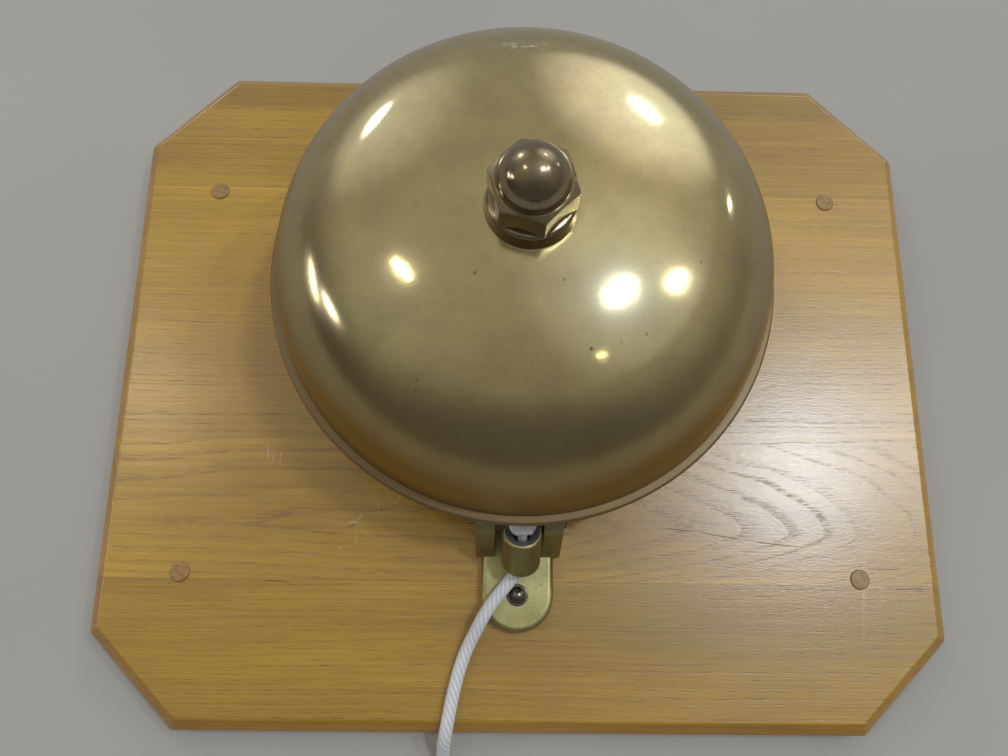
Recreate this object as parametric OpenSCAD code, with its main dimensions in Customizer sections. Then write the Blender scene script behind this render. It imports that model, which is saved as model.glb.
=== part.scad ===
// Rope-pulled trolley bell on an oak display board, in millimetres.
// The board lies on its back with the gong's mouth towards it: +Z points out of the
// board, +Y is the board's top and the pull rope leaves over its bottom edge, -Y.
// The origin is the middle of the board's back.

/* [Board] */
// Width of the board, along its grain
board_w = 457; // [440:1:500]
// Height of the board, across its grain
board_h = 381; // [366:1:420]
// Thickness of the board
board_t = 19; // [17:0.5:28]
// Leg of each sawn-off corner
corner_cut = 48; // [30:1:56]
// Leg of the chamfer round the front edge
edge_bevel = 6; // [1:0.5:8]

/* [Screw holes and plugs] */
// Distance from the board's ends to the plugs
plug_inset = 46; // [44:0.5:80]
// Distance from the outer glue joints to the plugs
plug_from_joint = 3.3; // [2.7:0.1:12]
// Diameter of the wooden plugs
plug_d = 10.5; // [8:0.5:14]
// Length of each plug
plug_l = 7; // [5:0.5:8]
// How far a plug stands proud of the board
plug_proud = 0.8; // [0:0.1:2]
// Diameter of the screw hole behind a plug
screw_hole_d = 5; // [3.5:0.5:6]
// Room for a screw head between the plug and the screw hole
screw_head_room = 3.5; // [2:0.5:5]

/* [Gong] */
// Radius of the gong over its lip
gong_r = 127; // [115:1:140]
// How far the lip stands out from the skirt
lip_out = 4; // [2:0.5:6]
// Height of the lip band
lip_h = 7; // [4:0.5:10]
// Lean of the skirt, in degrees
skirt_lean = 11; // [6:0.5:14]
// Length of the straight skirt above the lip
skirt_l = 18; // [16:0.5:26]
// Radius of the rounded shoulder
shoulder_r = 57; // [48:1:62]
// Radius of the crown
crown_r = 300; // [240:5:400]
// Thickness of the metal
gong_t = 5; // [3:0.5:7]
// Height of the rim above the board
rim_lift = 58; // [56:1:70]
// Sideways place of the bell's axis on the board
bell_x = -2.8; // [-10:0.1:10]

/* [Post and crown fastening] */
// Diameter of the stud that carries the gong
stud_d = 19; // [16:0.5:21]
// Diameter of the post
post_d = 26; // [23:0.5:32]
// Diameter of the shoulder under the gong
shoulder_d = 44; // [40:1:52]
// Height of that shoulder
shoulder_h = 5; // [3:0.5:8]
// Diameter of the foot flange of the post
flange_d = 38; // [34:1:42]
// Height of the foot flange
flange_h = 5; // [3:0.5:8]
// Diameter of the leather cushion under the gong
cushion_d = 48; // [46:1:56]
// Thickness of the leather cushion
cushion_t = 3; // [2:0.5:5]
// Diameter of the crown collar at its foot
collar_d = 40; // [38:0.5:46]
// Height of the crown collar
collar_h = 7.5; // [6:0.5:12]
// Width of the cap nut across its flats
nut_af = 33.3; // [31:0.1:38]
// Height of the cap nut's hexagon
nut_h = 14.5; // [12:0.5:18]
// Diameter of the cap nut's dome
dome_d = 30.7; // [27:0.1:32]
// Turn of the cap nut, in degrees
nut_turn = -15; // [-30:1:30]

/* [Bracket] */
// Width of the bracket's bar
bar_w = 38; // [34:1:42]
// Thickness of the bar
bar_t = 8; // [6:0.5:10]
// Radius of the bar's rounded top edge
bar_round = 3; // [1:0.5:4]
// Diameter of the boss that takes the post
boss_d = 46; // [42:1:52]
// Height of the boss above the bar
boss_h = 18; // [14:1:22]
// Distance from the bell's axis to the upper bracket bolt
upper_bolt_y = 40; // [37:0.5:50]
// Distance from the pivot pin to the foot bolt
foot_reach = 40; // [36:0.5:46]
// Distance from the board's lower outer glue joint to the foot bolt
foot_bolt_drop = 6.7; // [4:0.1:12]
// Diameter of the bracket bolts
bolt_d = 6.4; // [5:0.1:8]
// Diameter of the bolt heads
bolt_head_d = 11.2; // [10:0.1:13]
// Diameter of the nut recess in the board's back
recess_d = 20; // [18:0.5:24]
// Depth of the nut recess
recess_h = 8.5; // [8:0.5:11]
// Distance over the two ears
ears_w = 44.5; // [42:0.5:50]
// Thickness of each ear
ear_t = 10.2; // [8:0.1:12]
// Radius of the ears' round heads
ear_r = 11.5; // [10:0.5:13]

/* [Lever and hammer] */
// Distance of the pivot pin inside the gong's rim
pivot_inset = 7.5; // [5:0.5:9]
// Height of the pivot pin above the board
pivot_lift = 27; // [26:0.5:30]
// Diameter of the pivot pin
pin_d = 9.5; // [8:0.5:10.5]
// Radius of the lever's hub
hub_r = 10; // [9:0.5:10.5]
// Diameter of the rope eye's barrel
eye_d = 20; // [18:0.5:22]
// Length of the barrel
eye_l = 25.1; // [24:0.1:28]
// Lean of the barrel from upright, in degrees
eye_lean = 35; // [30:1:40]
// Distance from the pivot to the barrel's axis
eye_off = 14.7; // [14:0.1:17]
// Height of the barrel's mouth along its axis, from the pivot
eye_top = 4.9; // [4:0.1:7]
// Radius of the cup in the barrel's mouth
cup_r = 8.6; // [7:0.1:9]
// Diameter of the hammer rod
rod_d = 8; // [6:0.5:10]
// Distance from the pivot to the hammer's middle
hammer_reach = 56; // [54:0.5:58]
// Diameter of the hammer head
hammer_d = 24; // [20:1:28]
// Length of the hammer head
hammer_l = 26; // [22:1:28]
// Swing of the lever, in degrees
swing = 10; // [6:0.5:11]
// Gap left between the hammer and the gong at full swing
strike_gap = 0.6; // [0.4:0.1:1.5]

/* [Pull rope] */
// Diameter of the rope
rope_d = 6.8; // [6:0.1:7]
// Diameter of the rope's hole through the eye
rope_hole_d = 7.6; // [7.2:0.1:9]

/* [Hidden] */
$fn = 96;

// Colours
oak = [0.72, 0.55, 0.29];
plug_wood = [0.60, 0.40, 0.28];
pale_brass = [0.66, 0.62, 0.42];
aged_brass = [0.53, 0.48, 0.30];
bronze = [0.42, 0.34, 0.24];
dark_steel = [0.25, 0.23, 0.22];
leather = [0.35, 0.22, 0.13];
rope_white = [0.88, 0.89, 0.92];

// Fits and small allowances
eps = 0.01;
sunk = 1;
slip_fit = 0.05;
loose_fit = 0.25;
seat_gap = 0.3;

// Board
strips = 5;
strip_h = board_h / strips;
outer_joint = board_h / 2 - strip_h;
front_z = board_t;
half_w = board_w / 2;
half_h = board_h / 2;
board_outline = [
    [half_w, corner_cut - half_h], [half_w, half_h - corner_cut],
    [half_w - corner_cut, half_h], [corner_cut - half_w, half_h],
    [-half_w, half_h - corner_cut], [-half_w, corner_cut - half_h],
    [corner_cut - half_w, -half_h], [half_w - corner_cut, -half_h]
];
plug_room = plug_l - plug_proud + screw_head_room;
plug_places = [
    for (x = [-1, 1], y = [-1, 1]) [x * (half_w - plug_inset), y * (outer_joint - plug_from_joint)]
];
plug_edge = 0.5;

// Heights up the bell's axis
bar_top_z = front_z + bar_t;
boss_top_z = bar_top_z + boss_h;
rim_z = front_z + rim_lift;

// Gong profile: a skirt tangent to a shoulder arc, tangent to a crown arc on the axis
skirt_r = gong_r - lip_out;
skirt_up = [-sin(skirt_lean), cos(skirt_lean)];
skirt_out = [cos(skirt_lean), sin(skirt_lean)];
skirt_foot = [skirt_r, lip_h];
shoulder_c = skirt_foot + skirt_l * skirt_up - shoulder_r * skirt_out;
crown_c = shoulder_c[1] - sqrt(pow(crown_r - shoulder_r, 2) - pow(shoulder_c[0], 2));
blend_angle = atan2(shoulder_c[1] - crown_c, shoulder_c[0]);
seat_angle = acos(collar_d / 2 / crown_r);
seat_z = rim_z + crown_c + crown_r * sin(seat_angle);
inner_crown_r = crown_r - gong_t;
inner_seat_angle = acos((cushion_d / 2 + 1) / inner_crown_r);
under_crown_z = rim_z + crown_c + inner_crown_r * sin(inner_seat_angle);
lip_in_r = skirt_r + lip_h * tan(skirt_lean) - gong_t / cos(skirt_lean);
lip_round = 1.5;
lip_step = 1;
arc_steps = 16;

// Post and crown stack
shoulder_z = under_crown_z - cushion_t - shoulder_h;
collar_top_z = seat_z + collar_h;
collar_taper = 1;
nut_top_z = collar_top_z + nut_h;
dome_sink = 1.1;
dome_z = nut_top_z - dome_sink;
stud_top_z = nut_top_z - 1;
spigot_l = boss_h - 2;
nut_roof = 2;
nut_chamfer = 1.8;
post_neck = 3;

// Bracket
foot_y = -outer_joint - foot_bolt_drop;
pivot = [foot_y + foot_reach, front_z + pivot_lift];
bell_y = pivot[0] + gong_r - pivot_inset;
head_y = bell_y + upper_bolt_y;
bolt_places = [foot_y, head_y];
bolt_hole_r = bolt_d / 2 + loose_fit;
ear_gap = ears_w - 2 * ear_t;
ear_front = 20.5;
ear_back = 21;
web_t = 10.5;
washer_d = 16;
washer_t = 1.5;
bolt_nut_af = 11.1;
bolt_nut_h = 5.5;
bolt_end = 0.5;
bolt_flange_h = 1;
bolt_dome_d = 9;
bolt_dome_h = 3;

// Hammer: its lean at full swing puts its round face strike_gap off the gong's inner wall
face_r = 16;
face_back = hammer_l / 2 - face_r;
wall_foot = [bell_y - lip_in_r, rim_z];
wall_in = [cos(skirt_lean), -sin(skirt_lean)];
pivot_off = (pivot - wall_foot) * wall_in;
reach = sqrt(pow(hammer_reach, 2) + pow(face_back, 2));
strike_lean = skirt_lean + atan2(face_back, hammer_reach)
    + asin((face_r + strike_gap - pivot_off) / reach);
arm_lean = strike_lean + swing;

// Lever
spring_room = 3;
hub_slack = 0.7;
hub_w = ear_gap - spring_room - hub_slack;
hub_left = bell_x - ear_gap / 2 + spring_room;
lever_x = hub_left + hub_w / 2;
socket_d = 15;
socket_top = 22;
socket_floor = 8;
eye_round = 2.5;
cup_h = 3.5;
flare_r = 5.4;
flare_h = 4;
rod_top = hammer_reach + hammer_d / 2 + 9;
hammer_nut_af = 13;
hammer_nut_h = 6;
arm_dir = [sin(arm_lean), cos(arm_lean)];
arm_side = [cos(arm_lean), -sin(arm_lean)];

// Rest pad, on the sloped seat of the web behind the lever
pad_t = 3;
pad_face = socket_d / 2 + seat_gap;
pad_w = 14;
pad_low = 9;
pad_high = 19;
seat_low = pivot + pad_low * arm_dir + (pad_face + pad_t) * arm_side;
seat_high = pivot + pad_high * arm_dir + (pad_face + pad_t) * arm_side;

// Pivot pin
pin_head_d = 12.4;
pin_head_h = 3;
pin_tail = 4.5;
split_d = 1.8;
split_x = bell_x - ears_w / 2 - pin_tail / 2;
split_l = 16;
split_eye_r = 2.2;

// Return spring: a foot on the bar, two turns round the pin and a hook over the lever's socket
wire_d = 0.8;
wire_sides = 8;
coil_pitch = 0.85;
coil_r = socket_d / 2 + wire_d / 2 + seat_gap;
coil_x = hub_left - seat_gap - wire_d / 2;
coil_turn = 720 + arm_lean;
coil_steps = 40;
hook_at = 20;

// Rope route, from the eye over the bracket's foot and the board's edge to the coil
rope_r = rope_d / 2;
rope_route = [
    [-1.8, -105.2, 37.1], [-3.0, -107.9, 34.4], [-4.6, -110.6, 32.6], [-6.7, -113.4, 31.5],
    [-9.1, -116.3, 31.0], [-11.7, -119.4, 30.8], [-14.3, -122.7, 30.7], [-16.9, -126.3, 30.6],
    [-19.4, -130.2, 30.2], [-22.1, -135.0, 28.6], [-24.7, -140.2, 26.2], [-27.3, -145.4, 24.0],
    [-29.6, -150.8, 22.9],
    [-31.7, -156.7, 22.7], [-33.5, -163.0, 22.7], [-35.7, -172.7, 22.7], [-37.3, -181.5, 22.6],
    [-38.4, -187.6, 21.4], [-39.2, -192.6, 18.4], [-39.8, -196.6, 14.0], [-40.2, -200.4, 9.6],
    [-40.6, -205.4, 6.2], [-41.0, -211.8, 4.5], [-41.5, -219.6, 4.2], [-42.6, -230.0, 4.2],
    [-43.8, -242.0, 4.2], [-44.3, -252.0, 4.2], [-44.4, -262.0, 4.2]
];
rope_sides = 10;

// Rope coil, lying flat beyond the board's bottom edge, with its end knot inside
coil_turns = 3;
turn_pitch = 7.2;
coil_out = 48;
coil_in = coil_out - coil_turns * turn_pitch;
route_end = rope_route[len(rope_route) - 1];
coil_mid = [route_end[0] + coil_out, route_end[1]];
coil_lift = 0.8;
tie_t = coil_lift;
tie_w = 9;
tie_slack = 0.6;
knot_r = 5;
knot_w = 3.6;
knot_up = 4.4;
knot_aside = 0.6;
end_knot_r = 7;
end_knot_turn = -110;
end_knot_reach = coil_in - rope_r - end_knot_r - seat_gap;
end_knot_at = coil_mid + end_knot_reach * [cos(end_knot_turn), sin(end_knot_turn)];

function arc(c, r, from, to, steps) =
    [for (i = [0:steps]) let (a = from + (to - from) * i / steps) c + r * [cos(a), sin(a)]];

// Touching point on a circle at c with radius r, seen from p, on the side given by turn
function tangent(p, c, r, turn) =
    let (d = p - c, a = atan2(d[1], d[0]) + turn * acos(r / norm(d))) c + r * [cos(a), sin(a)];

function unit(v) = v / norm(v);

// Directions along a line of points
function headings(line) = [
    for (i = [0:len(line) - 1])
        unit(line[min(i + 1, len(line) - 1)] - line[max(i - 1, 0)])
];

// A cross direction for each point, carried along the line so that the tube doesn't twist
function across(dirs, start, i = 0, found = []) =
    i == len(dirs) ? found :
    let (last = i == 0 ? start : found[i - 1], flat = last - (last * dirs[i]) * dirs[i])
    across(dirs, start, i + 1, concat(found, [unit(flat)]));

// A round tube of radius r with its rings on the points of line
module swept_tube(line, r, sides, start) {
    dirs = headings(line);
    us = across(dirs, start);
    points = [
        for (i = [0:len(line) - 1], k = [0:sides - 1])
            let (v = cross(dirs[i], us[i]), a = 360 * k / sides)
            line[i] + r * (cos(a) * us[i] + sin(a) * v)
    ];
    last = (len(line) - 1) * sides;
    sides_faces = [
        for (i = [0:len(line) - 2], k = [0:sides - 1])
            let (n = (k + 1) % sides, a = i * sides)
            [a + k, a + sides + k, a + sides + n, a + n]
    ];
    ends = [[for (k = [0:sides - 1]) k], [for (k = [sides - 1:-1:0]) last + k]];
    polyhedron(points, concat(sides_faces, ends));
}

// Places its children on the bell's axis at height z
module on_axis(z) {
    translate([bell_x, bell_y, z]) children();
}

// Extrudes an outline drawn in Y and Z, centred on x
module slab(x, width) {
    translate([x - width / 2, 0, 0]) rotate([90, 0, 90]) linear_extrude(width) children();
}

// A cylinder along X, centred on x, at a place in Y and Z
module cross_cylinder(x, width, place, r) {
    translate([x - width / 2, place[0], place[1]]) rotate([0, 90, 0]) cylinder(r = r, h = width);
}

// Frames of the lever's two arms: +Z runs along the arm from the pivot
module arm_frame() {
    translate([lever_x, pivot[0], pivot[1]]) rotate([-arm_lean, 0, 0]) children();
}

module eye_frame() {
    translate([lever_x, pivot[0], pivot[1]])
        rotate([-eye_lean, 0, 0]) translate([0, -eye_off, 0]) children();
}

module hexagon(flats, height) {
    cylinder(r = flats / sqrt(3), h = height, $fn = 6);
}

// Board

// The cutter of the chamfer along the board's side that starts at corner i
module bevel_cutter(i) {
    a = board_outline[i];
    b = board_outline[(i + 1) % len(board_outline)];
    side = b - a;
    margin = 2 * edge_bevel;
    translate([a[0], a[1], front_z - edge_bevel])
        rotate([0, 0, atan2(side[1], side[0])])
            translate([-margin, 0, 0])
                rotate([45, 0, 0])
                    translate([0, -margin, 0])
                        cube([norm(side) + 2 * margin, 4 * margin, margin]);
}

module board_blank() {
    difference() {
        linear_extrude(board_t) polygon(board_outline);
        for (i = [0:len(board_outline) - 1]) bevel_cutter(i);
    }
}

module board_holes() {
    for (p = plug_places) translate([p[0], p[1], 0]) {
        translate([0, 0, -sunk]) cylinder(d = screw_hole_d, h = board_t);
        translate([0, 0, front_z - plug_room]) cylinder(r = plug_d / 2 + slip_fit, h = plug_room + sunk);
    }
    for (y = bolt_places) translate([bell_x, y, 0]) {
        translate([0, 0, -sunk]) cylinder(r = bolt_hole_r, h = board_t + 2 * sunk);
        translate([0, 0, -sunk]) cylinder(d = recess_d, h = recess_h + sunk);
    }
}

// Strip number i, counted from the board's top
module oak_strip(i) {
    color(oak) difference() {
        intersection() {
            board_blank();
            translate([-half_w - sunk, half_h - i * strip_h, -sunk])
                cube([board_w + 2 * sunk, strip_h, board_t + 2 * sunk]);
        }
        board_holes();
    }
}

module hole_plugs() {
    color(plug_wood) for (p = plug_places) translate([p[0], p[1], front_z + plug_proud - plug_l]) {
        cylinder(d = plug_d, h = plug_l - plug_edge);
        translate([0, 0, plug_l - plug_edge])
            cylinder(r1 = plug_d / 2, r2 = plug_d / 2 - plug_edge, h = plug_edge);
    }
}

// Bracket and its fastenings

module bar_section() {
    inner = bar_w / 2 - bar_round;
    translate([-bar_w / 2, 0]) square([bar_w, bar_t - bar_round]);
    translate([-inner, 0]) square([2 * inner, bar_t]);
    for (x = [-inner, inner]) translate([x, bar_t - bar_round]) circle(r = bar_round);
}

module bar_end(y) {
    translate([bell_x, y, front_z])
        rotate_extrude() intersection() {
            bar_section();
            square([bar_w, bar_t]);
        }
}

module bar() {
    translate([bell_x, head_y, front_z])
        rotate([90, 0, 0]) linear_extrude(head_y - foot_y) bar_section();
    for (y = bolt_places) bar_end(y);
}

module ear_outline() {
    front = [pivot[0] - ear_front, bar_top_z];
    back = [pivot[0] + ear_back, bar_top_z];
    polygon([
        [front[0], front_z], front, tangent(front, pivot, ear_r, -1), pivot,
        tangent(back, pivot, ear_r, 1), back, [back[0], front_z]
    ]);
    translate(pivot) circle(r = ear_r);
}

module web_outline() {
    web_back = pivot[0] + ear_back;
    polygon([
        [web_back - web_t, front_z], [web_back, front_z], [web_back, seat_high[1]],
        seat_high, seat_low, [web_back - web_t, seat_low[1] - web_t / 2]
    ]);
}

module bracket_base() {
    color(pale_brass) difference() {
        union() {
            bar();
            on_axis(bar_top_z - sunk) cylinder(d = boss_d, h = boss_h + sunk);
            for (side = [-1, 1]) slab(bell_x + side * (ears_w - ear_t) / 2, ear_t) ear_outline();
            slab(bell_x, ear_gap + 2 * sunk) web_outline();
        }
        cross_cylinder(bell_x, ears_w + 2 * sunk, pivot, pin_d / 2 + slip_fit);
        on_axis(boss_top_z - spigot_l) cylinder(r = stud_d / 2 + slip_fit, h = spigot_l + sunk);
        for (y = bolt_places)
            translate([bell_x, y, front_z - sunk]) cylinder(r = bolt_hole_r, h = bar_t + 2 * sunk);
    }
}

// Head with a thin flange and a dome, seen from above as two rings
module bolt_profile() {
    dome_r = (pow(bolt_dome_d / 2, 2) + pow(bolt_dome_h, 2)) / (2 * bolt_dome_h);
    top = bar_top_z + bolt_flange_h;
    edge = asin((dome_r - bolt_dome_h) / dome_r);
    polygon(concat(
        [[0, bolt_end], [bolt_d / 2, bolt_end], [bolt_d / 2, bar_top_z], [bolt_head_d / 2, bar_top_z]],
        [[bolt_head_d / 2, top - bolt_flange_h / 2], [bolt_head_d / 2 - bolt_flange_h / 2, top]],
        arc([0, top + bolt_dome_h - dome_r], dome_r, edge, 90, arc_steps / 2)
    ));
}

module bracket_bolts() {
    color(dark_steel) for (y = bolt_places)
        translate([bell_x, y, 0]) rotate_extrude() bolt_profile();
}

module bolt_washers() {
    color(dark_steel) for (y = bolt_places) translate([bell_x, y, recess_h - washer_t]) difference() {
        cylinder(d = washer_d, h = washer_t);
        translate([0, 0, -sunk]) cylinder(r = bolt_hole_r, h = washer_t + 2 * sunk);
    }
}

module bolt_nuts() {
    color(dark_steel) for (y = bolt_places)
        translate([bell_x, y, recess_h - washer_t - bolt_nut_h]) difference() {
            hexagon(bolt_nut_af, bolt_nut_h);
            translate([0, 0, -sunk]) cylinder(r = bolt_d / 2 + slip_fit, h = bolt_nut_h + 2 * sunk);
        }
}

// Post, gong and crown

module gong_post() {
    flange_top = boss_top_z + flange_h;
    color(pale_brass) on_axis(0) rotate_extrude() polygon([
        [0, boss_top_z - spigot_l], [stud_d / 2, boss_top_z - spigot_l], [stud_d / 2, boss_top_z],
        [flange_d / 2, boss_top_z], [flange_d / 2, flange_top], [post_d / 2, flange_top + post_neck],
        [post_d / 2, shoulder_z - post_neck], [shoulder_d / 2, shoulder_z],
        [shoulder_d / 2, shoulder_z + shoulder_h], [stud_d / 2, shoulder_z + shoulder_h],
        [stud_d / 2, stud_top_z], [0, stud_top_z]
    ]);
}

module cushion_washer() {
    color(leather) on_axis(under_crown_z - cushion_t) difference() {
        cylinder(d = cushion_d, h = cushion_t);
        translate([0, 0, -sunk]) cylinder(r = stud_d / 2 + loose_fit, h = cushion_t + 2 * sunk);
    }
}

module gong_profile() {
    hole_r = stud_d / 2 + loose_fit;
    seat = seat_z - rim_z;
    under_seat = under_crown_z - rim_z;
    outside = concat(
        arc([gong_r - lip_round, lip_round], lip_round, -90, 0, 4),
        arc([gong_r - lip_round, lip_h - lip_step - lip_round], lip_round, 0, 90, 4),
        [[skirt_r - lip_step * tan(skirt_lean), lip_h - lip_step]],
        arc(shoulder_c, shoulder_r, skirt_lean, blend_angle, arc_steps),
        arc([0, crown_c], crown_r, blend_angle, seat_angle, arc_steps / 2),
        [[hole_r, seat]]
    );
    inside = concat(
        arc([0, crown_c], inner_crown_r, inner_seat_angle, blend_angle, arc_steps / 2),
        arc(shoulder_c, shoulder_r - gong_t, blend_angle, skirt_lean, arc_steps)
    );
    polygon(concat([[lip_in_r, 0]], outside, [[hole_r, under_seat]], inside));
}

module gong() {
    color(aged_brass) on_axis(rim_z) rotate_extrude($fn = 180) gong_profile();
}

module crown_collar() {
    foot_r = collar_d / 2;
    round_r = 2;
    top_r = foot_r - collar_taper - round_r;
    bore_r = stud_d / 2 + loose_fit;
    color(aged_brass) on_axis(seat_z) rotate_extrude() polygon(concat(
        [[bore_r, 0], [foot_r, 0]],
        arc([top_r, collar_h - round_r], round_r, 0, 90, 6),
        [[bore_r, collar_h]]
    ));
}

module acorn_nut() {
    corner_r = nut_af / sqrt(3);
    rise = corner_r - nut_af / 2;
    color(bronze) on_axis(collar_top_z) rotate([0, 0, nut_turn]) difference() {
        union() {
            intersection() {
                hexagon(nut_af, nut_h);
                union() {
                    cylinder(r = corner_r + sunk, h = nut_h - nut_chamfer + eps);
                    translate([0, 0, nut_h - nut_chamfer])
                        cylinder(r1 = corner_r, r2 = nut_af / 2 - rise / 4, h = nut_chamfer);
                }
            }
            translate([0, 0, nut_h - nut_chamfer]) cylinder(d = dome_d, h = dome_z - nut_top_z + nut_chamfer);
            translate([0, 0, dome_z - collar_top_z]) intersection() {
                sphere(d = dome_d);
                cylinder(d = dome_d + sunk, h = dome_d);
            }
        }
        translate([0, 0, -sunk])
            cylinder(r = stud_d / 2 + slip_fit, h = stud_top_z + nut_roof - collar_top_z + sunk);
    }
}

// Pivot pin, its split pin and the rest pad

module pivot_pin() {
    right = bell_x + ears_w / 2;
    left = bell_x - ears_w / 2 - pin_tail;
    bulge = 1.2;
    head_r = pin_head_d / 2;
    color(dark_steel) difference() {
        union() {
            cross_cylinder((left + right) / 2, right - left, pivot, pin_d / 2);
            translate([right, pivot[0], pivot[1]]) rotate([0, 90, 0]) rotate_extrude() polygon([
                [0, 0], [head_r, 0], [head_r, pin_head_h - bulge], [head_r - bulge, pin_head_h - bulge / 3],
                [head_r / 2, pin_head_h], [0, pin_head_h]
            ]);
        }
        translate([split_x, pivot[0], pivot[1] - split_l])
            cylinder(r = split_d / 2 + slip_fit, h = 2 * split_l);
    }
}

module split_pin() {
    leg_r = split_d / 2;
    leg_l = 4;
    spread = 28;
    color(dark_steel) translate([split_x, pivot[0], pivot[1]]) {
        translate([0, 0, -split_l / 2]) cylinder(r = leg_r, h = split_l);
        translate([0, 0, split_l / 2 + split_eye_r])
            rotate([0, 90, 0]) rotate_extrude() translate([split_eye_r, 0]) circle(r = leg_r);
        for (side = [-1, 1])
            translate([0, 0, leg_r - split_l / 2])
                rotate([180 + side * spread, 0, 0]) cylinder(r = leg_r / 1.5, h = leg_l);
    }
}

module rest_pad() {
    color(leather) arm_frame()
        translate([bell_x - lever_x - pad_w / 2, pad_face, pad_low]) cube([pad_w, pad_t, pad_high - pad_low]);
}

// Return spring

module return_spring() {
    end_x = coil_x - coil_pitch * coil_turn / 360;
    foot = [for (z = [bar_top_z + seat_gap, pivot[1] - 4]) [end_x, pivot[0] - coil_r, z]];
    coil = [
        for (i = [0:coil_steps])
            let (a = 180 - coil_turn * i / coil_steps)
            [end_x + coil_pitch * coil_turn / 360 * i / coil_steps,
             pivot[0] + coil_r * cos(a), pivot[1] + coil_r * sin(a)]
    ];
    side = pivot - coil_r * arm_side;
    rise = [for (u = [5, hook_at - 2]) let (p = side + u * arm_dir) [coil_x, p[0], p[1]]];
    bent = side + hook_at * arm_dir;
    hook = [for (x = [coil_x + 2, lever_x + 4]) [x, bent[0], bent[1]]];
    color(dark_steel) swept_tube(concat(foot, coil, rise, hook), wire_d / 2, wire_sides, [1, 0, 0]);
}

// Lever and hammer

module eye_profile() {
    mouth = eye_top;
    low = eye_top - eye_l;
    r = eye_d / 2;
    polygon(concat(
        [[0, low]],
        arc([r - eye_round, low + eye_round], eye_round, -90, 0, 6),
        [[r, mouth - 1], [r - 1, mouth], [0, mouth]]
    ));
}

module trip_lever() {
    color(aged_brass) difference() {
        union() {
            cross_cylinder(lever_x, hub_w, pivot, hub_r);
            eye_frame() rotate_extrude() eye_profile();
            arm_frame() cylinder(d = socket_d, h = socket_top);
        }
        cross_cylinder(lever_x, hub_w + 2 * sunk, pivot, pin_d / 2 + slip_fit);
        eye_frame() {
            translate([0, 0, eye_top - eye_l - sunk]) cylinder(d = rope_hole_d, h = eye_l + 2 * sunk);
            translate([0, 0, eye_top - cup_h]) cylinder(r1 = rope_hole_d / 2, r2 = cup_r, h = cup_h + eps);
            translate([0, 0, eye_top - eye_l - eps])
                cylinder(r1 = flare_r, r2 = rope_hole_d / 2, h = flare_h);
        }
        arm_frame() translate([0, 0, socket_floor])
            cylinder(r = rod_d / 2 + slip_fit, h = socket_top);
    }
}

module hammer_arm() {
    tip = 1;
    color(dark_steel) arm_frame() translate([0, 0, socket_floor]) {
        cylinder(d = rod_d, h = rod_top - socket_floor - tip);
        translate([0, 0, rod_top - socket_floor - tip])
            cylinder(r1 = rod_d / 2, r2 = rod_d / 2 - tip, h = tip);
    }
}

module hammer_nuts() {
    offset_up = hammer_d / 2;
    color(dark_steel) arm_frame()
        for (u = [hammer_reach - offset_up - hammer_nut_h, hammer_reach + offset_up]) translate([0, 0, u])
            difference() {
                hexagon(hammer_nut_af, hammer_nut_h);
                translate([0, 0, -sunk]) cylinder(r = rod_d / 2 + slip_fit, h = hammer_nut_h + 2 * sunk);
            }
}

// Hammer head: a drum with two crowned faces, spot-faced for its nuts
module hammer_head() {
    r = hammer_d / 2;
    half = hammer_l / 2;
    edge = asin(r / face_r / 1.2);
    face = arc([0, half - face_r], face_r, 90 - edge, 90, 8);
    rim = face[0];
    color(dark_steel) arm_frame() difference() {
        translate([0, 0, hammer_reach]) rotate([90, 0, 0]) rotate_extrude() polygon(concat(
            [[0, -half + 2], [r - 2, -half + 2], [r, -half + 4], [r, rim[1] - 1.5]], face
        ));
        cylinder(r = rod_d / 2 + slip_fit, h = 2 * hammer_reach);
    }
}

// Rope

module rope_knot() {
    stem_foot = eye_top - eye_l + seat_gap;
    color(rope_white) eye_frame() {
        translate([-knot_w / 2, knot_aside, eye_top + knot_up]) rotate([0, 90, 0]) {
            cylinder(r = knot_r, h = knot_w);
            for (z = [0, knot_w]) translate([0, 0, z]) sphere(r = knot_r);
        }
        translate([0, 0, stem_foot]) cylinder(r = rope_r, h = eye_top + knot_up - stem_foot);
    }
}

module pull_rope() {
    color(rope_white) swept_tube(rope_route, rope_r, rope_sides, [1, 0, 0]);
}

module rope_coil() {
    color(rope_white) translate([coil_mid[0], coil_mid[1], coil_lift]) rotate_extrude() {
        translate([coil_in, 0]) square([coil_out - coil_in, rope_d]);
        for (r = [coil_in, coil_out]) translate([r, rope_r]) circle(r = rope_r);
    }
}

module coil_tie() {
    inner = coil_in - rope_r - tie_slack - tie_t;
    outer = coil_out + rope_r + tie_t;
    color(rope_white) translate([coil_mid[0], coil_mid[1] - tie_w / 2, 0]) difference() {
        translate([inner, 0, 0]) cube([outer - inner, tie_w, rope_d + 2 * tie_t]);
        translate([inner + tie_t, -sunk, tie_t])
            cube([outer - inner - 2 * tie_t, tie_w + 2 * sunk, rope_d]);
    }
}

module rope_end_knot() {
    color(rope_white) translate([end_knot_at[0], end_knot_at[1], end_knot_r])
        sphere(r = end_knot_r, $fn = 48);
}

for (i = [1:strips]) oak_strip(i);
hole_plugs();
bracket_base();
bracket_bolts();
bolt_washers();
bolt_nuts();
gong_post();
cushion_washer();
gong();
crown_collar();
acorn_nut();
pivot_pin();
split_pin();
rest_pad();
return_spring();
trip_lever();
hammer_arm();
hammer_nuts();
hammer_head();
rope_knot();
pull_rope();
rope_coil();
coil_tie();
rope_end_knot();
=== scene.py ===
import math

import bmesh
import bpy
from mathutils import Matrix, Vector


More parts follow.
